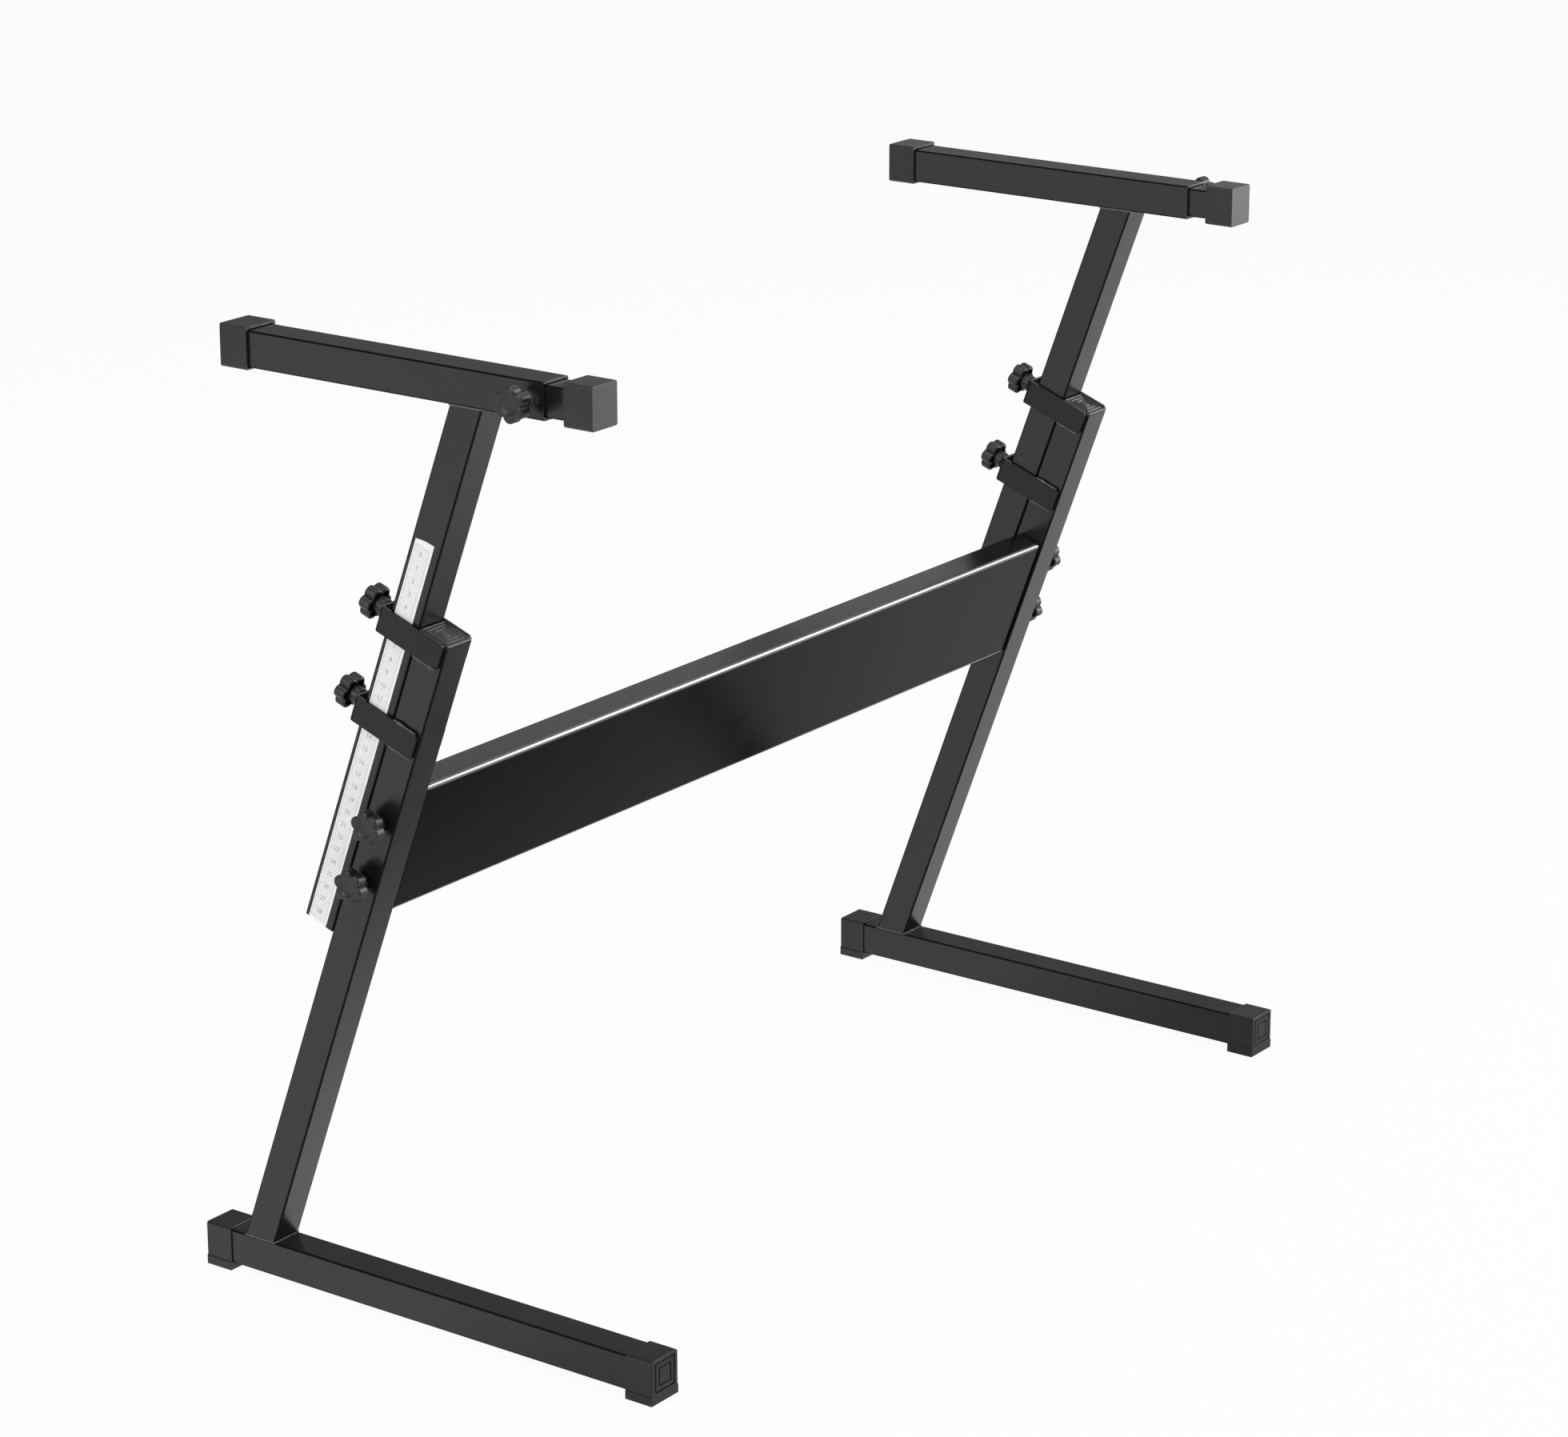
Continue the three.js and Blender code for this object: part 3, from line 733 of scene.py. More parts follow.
class NodePress:
    """A Geometry Nodes tree that is run for each piece and leaves a plain mesh."""

    def __init__(self, name: str, inputs: Sequence[tuple[str, str, object]]) -> None:
        """Starts the tree.

        Args:
            name: name of the tree.
            inputs: name, kind and default of each input besides the finish.
        """
        self.tree = bpy.data.node_groups.new(name, "GeometryNodeTree")
        for way in ("OUTPUT", "INPUT"):
            self.tree.interface.new_socket("Geometry", in_out=way, socket_type="NodeSocketGeometry")
        for label, kind, default in (*inputs, ("Finish", "Material", None)):
            socket = self.tree.interface.new_socket(
                label, in_out="INPUT", socket_type=f"NodeSocket{kind}"
            )
            if default is not None:
                socket.default_value = default
        self.sheet = NodeSheet(self.tree)
        self.given = self.sheet.add("NodeGroupInput").outputs

    def stack(self, count: object, step: dict[str | int, object], piece: bpy.types.Node) -> None:
        """Ends the tree with a row of one piece.

        Args:
            count: how many.
            step: the way from one to the next, by axis.
            piece: the node that makes the piece.
        """
        inputs = {"Count": count, "Offset": self.sheet.add("ShaderNodeCombineXYZ", step)}
        row = self.sheet.add("GeometryNodeMeshLine", inputs, mode="OFFSET", count_mode="TOTAL")
        laid = {"Points": row, "Instance": piece}
        self.deliver(self.sheet.add("GeometryNodeInstanceOnPoints", laid))

    def guide(self) -> bpy.types.NodeSocket:
        """The geometry of the tree's guide."""
        inputs = {"Object": self.given["Guide"]}
        node = self.sheet.add("GeometryNodeObjectInfo", inputs, transform_space="ORIGINAL")
        return node.outputs["Geometry"]

    def deliver(self, geometry: bpy.types.Node) -> None:
        """Ends the tree: real geometry with the finish on it.

        Args:
            geometry: the node that makes the geometry.
        """
        real = self.sheet.add("GeometryNodeRealizeInstances", {"Geometry": geometry})
        dressed = self.sheet.add(
            "GeometryNodeSetMaterial", {"Geometry": real, "Material": self.given["Finish"]}
        )
        self.sheet.add("NodeGroupOutput", {"Geometry": dressed})

    def run(
        self,
        name: str,
        finish: Finish,
        values: dict[str, object],
        guide: bpy.types.Mesh | None = None,
    ) -> bpy.types.Mesh:
        """Runs the tree.

        Args:
            name: name of the mesh to make.
            finish: its surface.
            values: value of each further input by name.
            guide: mesh for the tree's guide, where it has one.

        Returns:
            The evaluated mesh, free of instances and modifiers.
        """
        values = {**values, "Finish": finish.material()}
        if guide is not None:
            values["Guide"] = set_down(f"{name}_guide", guide)
        host = set_down(f"{name}_host", bpy.data.meshes.new(f"{name}_seed"))
        modifier = host.modifiers.new("press", "NODES")
        modifier.node_group = self.tree
        for item in self.tree.interface.items_tree:
            if item.item_type == "SOCKET" and item.in_out == "INPUT" and item.name in values:
                modifier[item.identifier] = values[item.name]
        mesh = taken_mesh(host, name)
        if guide is not None:
            bpy.data.objects.remove(values["Guide"])
        return mesh


# ---------------------------------------------------------------------------
# Turned parts: knobs and studs
# ---------------------------------------------------------------------------


@dataclass(frozen=True)
class ProfilePoint:
    """A point of a turned profile, and how far lobes and thread cut into it there."""

    radius: float
    height: float
    lobe: float = 0.0
    thread: float = 0.0


class TurningLathe(NodePress):
    """Geometry Nodes that turn a profile, with lobes or a thread cut into it."""

    def __init__(self) -> None:
        """Builds the tree once, for all turned parts."""
        super().__init__("turned_part", (
            ("Guide", "Object", None),
            ("Steps", "Int", 96),
            ("Lobes", "Int", 6),
            ("Lobe Depth", "Float", 0.0),
            ("Lobe Roundness", "Float", 1.0),
            ("Thread Pitch", "Float", 1 * MM),
            ("Thread Depth", "Float", 0.0),
        ))
        add, do = self.sheet.add, self.sheet.math
        self.profile = self.guide()
        size = add("GeometryNodeAttributeDomainSize", {"Geometry": self.profile})
        rows = size.outputs["Point Count"]
        columns = do("ADD", self.given["Steps"], 1.0)
        grid = add("GeometryNodeMeshGrid", {"Vertices X": columns, "Vertices Y": rows})
        spot = add("ShaderNodeSeparateXYZ", {0: add("GeometryNodeInputPosition")}).outputs
        turn = do("ADD", spot["X"], 0.5)
        share = do("ADD", spot["Y"], 0.5)
        self.row = do("ROUND", do("MULTIPLY", share, do("SUBTRACT", rows, 1.0)))
        angle = do("MULTIPLY", turn, 2 * math.pi)
        sampled = self.sample("FLOAT_VECTOR", add("GeometryNodeInputPosition"))
        at = add("ShaderNodeSeparateXYZ", {0: sampled}).outputs
        cuts = do("ADD", self.lobe_cut(angle), self.thread_cut(turn, at["Z"]))
        radius = do("SUBTRACT", at["X"], cuts)
        moved = add("ShaderNodeCombineXYZ", {
            "X": do("MULTIPLY", radius, do("COSINE", angle)),
            "Y": do("MULTIPLY", radius, do("SINE", angle)),
            "Z": at["Z"],
        })
        put = add("GeometryNodeSetPosition", {"Geometry": grid, "Position": moved})
        closed = {"Geometry": put, "Distance": JOIN_DISTANCE}
        self.deliver(add("GeometryNodeMergeByDistance", closed))

    def sample(self, kind: str, value: object) -> bpy.types.NodeSocket:
        """Reads a value at the profile's point of this row.

        Args:
            kind: data type of the value.
            value: the field to read.

        Returns:
            The value there.
        """
        inputs = {"Geometry": self.profile, "Value": value, "Index": self.row}
        node = self.sheet.add("GeometryNodeSampleIndex", inputs, data_type=kind, domain="POINT")
        return node.outputs["Value"]

    def weight(self, name: str) -> bpy.types.NodeSocket:
        """Reads the profile's weight of this name in this row."""
        named = self.sheet.add("GeometryNodeInputNamedAttribute", {"Name": name}, data_type="FLOAT")
        return self.sample("FLOAT", named.outputs["Attribute"])

    def lobe_cut(self, angle: bpy.types.Node) -> bpy.types.Node:
        """How far the valleys between lobes cut in.

        Args:
            angle: angle round the axis in radians.

        Returns:
            The depth of the cut.
        """
        do = self.sheet.math
        half = do("MULTIPLY", angle, do("MULTIPLY", self.given["Lobes"], 0.5))
        wave = do("POWER", do("ABSOLUTE", do("COSINE", half)), self.given["Lobe Roundness"])
        depth = do("MULTIPLY", do("SUBTRACT", 1.0, wave), self.given["Lobe Depth"])
        return do("MULTIPLY", depth, self.weight("lobe"))

    def thread_cut(self, turn: bpy.types.Node, height: bpy.types.NodeSocket) -> bpy.types.Node:
        """How far the thread's groove cuts in.

        Args:
            turn: share of a turn round the axis.
            height: place along the axis.

        Returns:
            The depth of the cut.
        """
        do = self.sheet.math
        along = do("DIVIDE", height, self.given["Thread Pitch"])
        phase = do("FRACT", do("ADD", do("SUBTRACT", along, turn), 100.0))
        ramp = do("ABSOLUTE", do("SUBTRACT", do("MULTIPLY", phase, 2.0), 1.0))
        depth = do("MULTIPLY", ramp, self.given["Thread Depth"])
        return do("MULTIPLY", depth, self.weight("thread"))

    def turn(
        self, name: str, profile: Sequence[ProfilePoint], finish: Finish, values: dict[str, object]
    ) -> bpy.types.Mesh:
        """Turns a profile.

        Args:
            name: name of the mesh.
            profile: its points, from axis to axis.
            finish: the part's surface.
            values: further inputs of the tree by name.

        Returns:
            The closed mesh about the Z axis.
        """
        line = bpy.data.meshes.new(f"{name}_profile")
        line.from_pydata([(p.radius, 0, p.height) for p in profile], [], [])
        for label in ("lobe", "thread"):
            weights = line.attributes.new(label, "FLOAT", "POINT")
            weights.data.foreach_set("value", [getattr(p, label) for p in profile])
        mesh = self.run(name, finish, values, line)
        form = bmesh.new()
        form.from_mesh(mesh)
        bmesh.ops.remove_doubles(form, verts=form.verts, dist=JOIN_DISTANCE)
        bmesh.ops.recalc_face_normals(form, faces=form.faces)
        form.to_mesh(mesh)
        form.free()
        return mesh


@dataclass(frozen=True)
class StarKnob:
    """The six-lobed moulded knob: neck, hollow back, round-edged lobes and a ringed face."""

    radius: float = 12 * MM
    lobes: int = 6
    lobe_depth: float = 2.8 * MM
    lobe_roundness: float = 0.9
    thickness: float = 9 * MM
    edge: float = 1.6 * MM
    neck: float = 6 * MM
    neck_radius: float = 6.2 * MM
    recess_radius: float = 9.9 * MM
    recess_lobe: float = 0.85
    recess: float = 4 * MM
    bore_radius: float = 3.2 * MM
    bore: float = 11 * MM
    ring_radius: float = 6.3 * MM
    ring_width: float = 0.8 * MM
    dish: float = 1.1 * MM
    dish_step: float = 0.08 * MM
    small: float = 0.5 * MM
    bore_chamfer: float = 0.4 * MM
    steps: int = 120

    def pull(self, radius: float) -> float:
        """Share of the lobe depth that an outer point at this radius follows."""
        inner = self.ring_radius + self.ring_width
        return max(0.0, min(1.0, (radius - inner) / (self.radius - self.edge - inner)))

    def profile(self) -> list[ProfilePoint]:
        """The knob's profile.

        Returns:
            Points from the blind bore's floor, over the neck, back and face, to the axis.
        """
        r, edge, top, back, small = self.radius, self.edge, self.thickness, -self.neck, self.small
        neck: list[Spot] = [
            (0, self.bore - self.neck),
            (self.bore_radius, self.bore - self.neck),
            (self.bore_radius, back + self.bore_chamfer),
            (self.bore_radius + self.bore_chamfer, back),
        ]
        neck += arc((self.neck_radius - small, back + small), small, -90, 0, 3)
        neck += arc((self.neck_radius + small, self.recess - small), small, 180, 90, 3)
        hollow = arc((self.recess_radius - small, self.recess - small), small, 90, 0, 3)
        hollow += arc((self.recess_radius + small, small), small, 180, 270, 3)
        outer = arc((r - edge, edge), edge, -90, 0, 6) + arc((r - edge, top - edge), edge, 0, 90, 6)
        ring, dished = self.ring_radius, top - self.dish_step
        outer += [(ring + self.ring_width, top), (ring + 0.4 * self.ring_width, top)]
        outer += [
            (ring * math.cos(angle), dished - self.dish * math.sin(angle))
            for angle in (math.radians(15 * step) for step in range(6))
        ]
        outer.append((0, dished - self.dish))
        points = [ProfilePoint(radius, height) for radius, height in neck]
        points += [ProfilePoint(radius, height, lobe=self.recess_lobe) for radius, height in hollow]
        points += [ProfilePoint(radius, height, self.pull(radius)) for radius, height in outer]
        return points

    def build(self, lathe: TurningLathe) -> bpy.types.Mesh:
        """Turns the knob about Z, its disc starting at Z = 0.

        Args:
            lathe: the nodes that turn it.

        Returns:
            The knob's mesh.
        """
        values = {
            "Steps": self.steps, "Lobes": self.lobes,
            "Lobe Depth": self.lobe_depth, "Lobe Roundness": self.lobe_roundness,
        }
        return lathe.turn("star_knob", self.profile(), KNOB_PLASTIC, values)


@dataclass(frozen=True)
class ThreadedStud:
    """A stud with a rolled thread and a chamfered tip."""

    radius: float = 3 * MM
    chamfer: float = 0.8 * MM
    end_chamfer: float = 0.3 * MM
    pitch: float = 1 * MM
    thread_depth: float = 0.5 * MM
    rows_per_turn: int = 6
    steps: int = 20

    def build(self, name: str, length: float, lathe: TurningLathe) -> bpy.types.Mesh:
        """Turns the stud along +Z from its tip.

        Args:
            name: name of the mesh.
            length: its full length.
            lathe: the nodes that turn it.

        Returns:
            The stud's mesh.
        """
        rows = int(length / self.pitch * self.rows_per_turn)
        radius, start, end = self.radius, self.chamfer, length - self.end_chamfer
        points = [ProfilePoint(0, 0), ProfilePoint(radius - start, 0), ProfilePoint(radius, start)]
        for row in range(1, rows):
            height = start + (end - start) * row / rows
            fade = min(1.0, (height - start) / self.pitch, (end - height) / self.pitch)
            points.append(ProfilePoint(radius, height, thread=fade))
        tip = ((radius, end), (radius - self.end_chamfer, length), (0, length))
        points += [ProfilePoint(*point) for point in tip]
        values = {
            "Steps": self.steps, "Lobes": 1,
            "Thread Pitch": self.pitch, "Thread Depth": self.thread_depth,
        }
        return lathe.turn(name, points, ZINC, values)


@dataclass
class Fasteners:
    """Every knob with its stud and nut."""

    sizes: StandSizes
    lathe: TurningLathe
    knob: StarKnob = field(default_factory=StarKnob)
    stud: ThreadedStud = field(default_factory=ThreadedStud)
    clamp_standoff: float = 5 * MM
    panel_standoff: float = 2 * MM
    arm_standoff: float = 0.6 * MM
    nut_edge: float = 0.25 * MM

    def knob_back(self, place: Fastening) -> float:
        """Distance of the knob's disc from the face that it stands off."""
        if place in (Fastening.UPPER_CLAMP, Fastening.LOWER_CLAMP):
            return self.clamp_standoff + self.knob.neck
        if place is Fastening.ARM:
            return self.sizes.seat_gap + self.sizes.arm_nut + self.arm_standoff + self.knob.neck
        return self.panel_standoff + self.knob.neck

    def rest_turn(self, side: Side, place: Fastening) -> float:
        """How far the knob is turned at rest: the panel knobs have a lobe square to the leg."""
        if place in (Fastening.UPPER_PANEL, Fastening.LOWER_PANEL):
            return -side.value * (math.pi / self.knob.lobes - self.sizes.lean)
        return 0.0

    def stud_span(self, side: Side, place: Fastening) -> tuple[float, float]:
        """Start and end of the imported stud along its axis.

        Args:
            side: side of the stand.
            place: which of the side's knobs.

        Returns:
            Lowest and highest distance along the axis.
        """
        axis = self.sizes.fastening_axis(side, place).inverted()
        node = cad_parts[f"{side.label}_{place.value}_stud"]
        heights = [(axis @ v.co).z for v in node.data.vertices]
        return min(heights), max(heights)

    def build(self) -> None:
        """Makes and places the knobs, studs and nuts of both sides."""
        blank = self.knob.build(self.lathe)
        for side in Side:
            for place in Fastening:
                prefix = f"{side.label}_{place.value}"
                axis = self.sizes.fastening_axis(side, place)
                disc = blank.copy()
                turned = Matrix.Rotation(self.rest_turn(side, place), 4, "Z")
                disc.transform(axis @ Matrix.Translation((0, 0, self.knob_back(place))) @ turned)
                place_mesh(
                    f"{prefix}_star_knob", disc, KNOB_PLASTIC,
                    f"{prefix}_knob_body", f"{prefix}_knob", crease=40,
                )
                low, high = self.stud_span(side, place)
                rod = self.stud.build(f"{prefix}_thread", high - low, self.lathe)
                rod.transform(axis @ Matrix.Translation((0, 0, low)))
                place_mesh(
                    f"{prefix}_threaded_stud", rod, ZINC,
                    f"{prefix}_stud_body", f"{prefix}_stud", crease=60,
                )
                body = f"{side.label}_upright" if place is Fastening.ARM else "base_frame"
                nut = refined_copy(f"{prefix}_nut", self.nut_edge)
                place_mesh(f"{prefix}_hex_nut", nut, ZINC, body, f"{prefix}_nut")
        bpy.data.meshes.remove(blank)


# ---------------------------------------------------------------------------
# Weld beads
# ---------------------------------------------------------------------------


class WeldGun(NodePress):
    """Geometry Nodes that lay overlapping drops of weld along a path."""

    overlap = 1.1

    def __init__(self) -> None:
        """Builds the tree once, for all seams."""
        super().__init__("weld_bead", (
            ("Guide", "Object", None),
            ("Spacing", "Float", 1 * MM),
            ("Bead Radius", "Float", 0.6 * MM),
            ("Unevenness", "Float", 0.25),
            ("Seed", "Int", 7),
        ))
        add, do, uneven = self.sheet.add, self.sheet.math, self.given["Unevenness"]
        curve = add("GeometryNodeMeshToCurve", {"Mesh": self.guide()})
        spaced = {"Curve": curve, "Length": self.given["Spacing"]}
        dots = add("GeometryNodeCurveToPoints", spaced, mode="LENGTH")
        ball = {"Radius": self.given["Bead Radius"], "Subdivisions": 3}
        drop = add("GeometryNodeMeshIcoSphere", ball)
        limits = {2: do("SUBTRACT", 1.0, uneven), 3: do("ADD", 1.0, uneven)}
        seeded = {**limits, "Seed": self.given["Seed"]}
        spread = add("FunctionNodeRandomValue", seeded, data_type="FLOAT")
        laid = {"Points": dots, "Instance": drop, "Scale": spread.outputs[1]}
        self.deliver(add("GeometryNodeInstanceOnPoints", laid))

    def lay(
        self, name: str, paths: Sequence[Sequence[Vector]], radius: float, seed: int
    ) -> bpy.types.Mesh:
        """Lays beads along one or more paths.

        Args:
            name: name of the mesh.
            paths: points of each seam, in the model's frame.
            radius: radius of a drop.
            seed: seed of the drops' unevenness.

        Returns:
            The beads' mesh.
        """
        points, edges = [], []
        for path in paths:
            start = len(points)
            points += path
            edges += [(start + i, start + i + 1) for i in range(len(path) - 1)]
        line = bpy.data.meshes.new(f"{name}_path")
        line.from_pydata(points, edges, [])
        values = {"Spacing": radius * self.overlap, "Bead Radius": radius, "Seed": seed}
        return self.run(name, WELD_PAINTED_HIGHLIGHT_COAT, values, line)


# ---------------------------------------------------------------------------
# Steel frame
# ---------------------------------------------------------------------------


@dataclass(frozen=True)
class Tack:
    """A tack weld on a bracket's upper or lower edge, with its depth on the leg."""

    upper_clamp: bool
    above: bool
    depth: float


@dataclass
class SteelFrame:
    """Tubes, brackets and crossbar, with broken edges and weld beads."""

    sizes: StandSizes
    gun: WeldGun
    packed_corner: float = 2 * MM
    tube_corner: float = 1.2 * MM
    packed_bend: float = 3.5 * MM
    bracket_bend: float = 2.5 * MM
    tube_edge: float = 0.25 * MM
    bracket_edge: float = 0.3 * MM
    panel_edge: float = 0.25 * MM
    bead: float = 0.55 * MM
    bracket_bead: float = 0.55 * MM
    bead_cover: float = 0.25 * MM
    tack: float = 0.95 * MM
    tack_length: float = 2.2 * MM
    bead_depths: Spot = (4.5 * MM, 23 * MM)
    joint_seed: int = 11
    bracket_seed: int = 23
    tacks: tuple[Tack, ...] = (
        Tack(upper_clamp=True, above=False, depth=7.9 * MM),
        Tack(upper_clamp=True, above=False, depth=17.5 * MM),
        Tack(upper_clamp=False, above=True, depth=17.5 * MM),
        Tack(upper_clamp=False, above=False, depth=17.5 * MM),
    )

    def build(self) -> None:
        """Makes every steel piece of both sides and the crossbar."""
        for side in Side:
            for part in ("foot_tube", "lower_leg", "upper_bracket", "lower_bracket"):
                self.coat(side, part, "base_frame")
            for part in ("upper_leg", "arm_tube"):
                self.coat(side, part, f"{side.label}_upright")
            self.coat(side, "arm_extension", f"{side.label}_arm_slider")
            self.weld_joints(side)
            self.weld_brackets(side)
        panel = refined_copy("crossbar", self.panel_edge)
        along_x = self.sizes.leg_frame @ Matrix.Rotation(math.pi / 2, 4, "Y")
        # The crossbar's faces get a painted shade and its bends a painted highlight.
        dress_bends(panel, along_x, PANEL_PAINTED_SHADE_COAT, PANEL_BEND_PAINTED_HIGHLIGHT_COAT, PRESSED_COAT)
        place_mesh("crossbar_coated", panel, PANEL_PAINTED_SHADE_COAT, "base_frame", "crossbar")

    def coat(self, side: Side, part: str, body: str) -> None:
        """Makes the coated piece that stands for a tube or a bracket.

        Args:
            side: side of the stand.
            part: its node's name after the side's.
            body: body that it rides on.
        """
        node = f"{side.label}_{part}"
        if part.endswith("bracket"):
            edge, bends, finish = self.bracket_edge, self.bracket_bends(side), PRESSED_COAT
        else:
            edge, bends, finish = self.tube_edge, self.tube_bends(side, part), POWDER_COAT
        mesh = refined_copy(node, edge, bends)
        if part == "lower_leg":
            self.lift_leg_top(mesh)
        # The bends get a painted shade along the tube and bracket corners.
        dress_bends(mesh, bends.axis, finish, BEND_PAINTED_SHADE_COAT)
        place_mesh(f"{node}_coated", mesh, finish, body, node)

    def lift_leg_top(self, mesh: bpy.types.Mesh) -> None:
        """Carries a lower leg's open end up to the plug's thin rim.

        Args:
            mesh: the lower leg's mesh.
        """
        back = self.sizes.leg_frame.inverted()
        rise = self.sizes.leg_frame.to_3x3() @ Vector((0, 0, self.sizes.plug_lip))
        for vert in mesh.vertices:
            if (back @ vert.co).z > self.sizes.lower_leg - self.sizes.tube:
                vert.co += rise

    def tube_bends(self, side: Side, part: str) -> BendRun:
        """The corners of a square tube.

        Args:
            side: side of the stand.
            part: which of the side's tubes.

        Returns:
            The bends along the tube.
        """
        sizes = self.sizes
        x = sizes.side_x(side)
        if part in ("lower_leg", "upper_leg"):
            depth = sizes.tube / 2 + (sizes.seam if part == "upper_leg" else 0.0)
            axis = sizes.leg_frame @ Matrix.Translation((x, depth, 0))
        else:
            half_up = sizes.tube / 2
            height = sizes.foot_top - half_up if part == "foot_tube" else sizes.arm_bottom + half_up
            axis = Matrix.Translation((x, 0, height)) @ Matrix.Rotation(-math.pi / 2, 4, "X")
        half = (sizes.extension if part == "arm_extension" else sizes.tube) / 2
        return BendRun(axis, (half, half), self.packed_corner, self.tube_corner)

    def bracket_bends(self, side: Side) -> BendRun:
        """The two rear bends of the side's U straps.

        Args:
            side: side of the stand.

        Returns:
            The bends along the leg.
        """
        sizes = self.sizes
        half = (sizes.tube / 2 + sizes.slide_gap + sizes.bracket_plate, sizes.tube)
        middle = (sizes.side_x(side), sizes.bracket_back - sizes.tube, 0)
        axis = sizes.leg_frame @ Matrix.Translation(middle)
        return BendRun(axis, half, self.packed_bend, self.bracket_bend, both_ends=False)

    def seam_round(self, x: float, height: float, depths: tuple[float, float]) -> list[Vector]:
        """A closed seam round a leg where it meets a level face.

        Args:
            x: the leg's middle.
            height: height of the level face.
            depths: depth of the leg's front and rear face.

        Returns:
            The seam's points.
        """
        half = self.sizes.tube / 2
        slope = self.sizes.leg_frame.to_3x3() @ Vector((0, 0, 1))
        front, rear = depths
        corners = []
        for sx, depth in ((-1, front), (1, front), (1, rear), (-1, rear), (-1, front)):
            base = self.sizes.leg_point(x + sx * half, depth, 0)
            corners.append(base + slope * ((height - base.z) / slope.z))
        return corners

    def weld_joints(self, side: Side) -> None:
        """Lays the beads round the leg's foot and under the arm.

        Args:
            side: side of the stand.
        """
        sizes = self.sizes
        x = sizes.side_x(side)
        seam, back = sizes.seam, sizes.seam + sizes.tube
        joints = (
            ("foot", "base_frame", sizes.foot_top, (0.0, sizes.tube)),
            ("arm", f"{side.label}_upright", sizes.arm_bottom, (seam, back)),
        )
        for index, (name, body, height, depths) in enumerate(joints):
            path = self.seam_round(x, height, depths)
            name = f"{side.label}_{name}_weld"
            mesh = self.gun.lay(name, [path], self.bead, self.joint_seed + index)
            place_mesh(f"{name}_beads", mesh, WELD_PAINTED_HIGHLIGHT_COAT, body, crease=180)

    def weld_brackets(self, side: Side) -> None:
        """Lays the fine beads and the tack welds along the brackets' edges.

        Args:
            side: side of the stand.
        """
        sizes = self.sizes
        half = sizes.tube / 2 + sizes.slide_gap + sizes.bracket_plate - self.bracket_bead
        lines, drops = [], []
        for tack in self.tacks:
            centre = sizes.upper_clamp if tack.upper_clamp else sizes.lower_clamp
            rise = sizes.bracket_height / 2 + self.bead_cover
            along = centre + (rise if tack.above else -rise)
            for sx in (-1, 1):
                x = sizes.side_x(side) + sx * half
                ends = (tack.depth - self.tack_length / 2, tack.depth + self.tack_length / 2)
                drops.append([sizes.leg_point(x, depth, along) for depth in ends])
                lines.append([sizes.leg_point(x, depth, along) for depth in self.bead_depths])
        for kind, paths, radius in (("seam", lines, self.bracket_bead), ("tack", drops, self.tack)):
            name = f"{side.label}_bracket_{kind}"
            mesh = self.gun.lay(name, paths, radius, self.bracket_seed)
            place_mesh(f"{name}_welds", mesh, WELD_PAINTED_HIGHLIGHT_COAT, "base_frame", crease=180)


# ---------------------------------------------------------------------------
# Mouldings: foot caps, plugs and boots
# ---------------------------------------------------------------------------


def arm_body(side: Side, end: End) -> str:
    """The body that carries the boot at this end of an arm."""
    return f"{side.label}_{'arm_slider' if end is End.FRONT else 'upright'}"


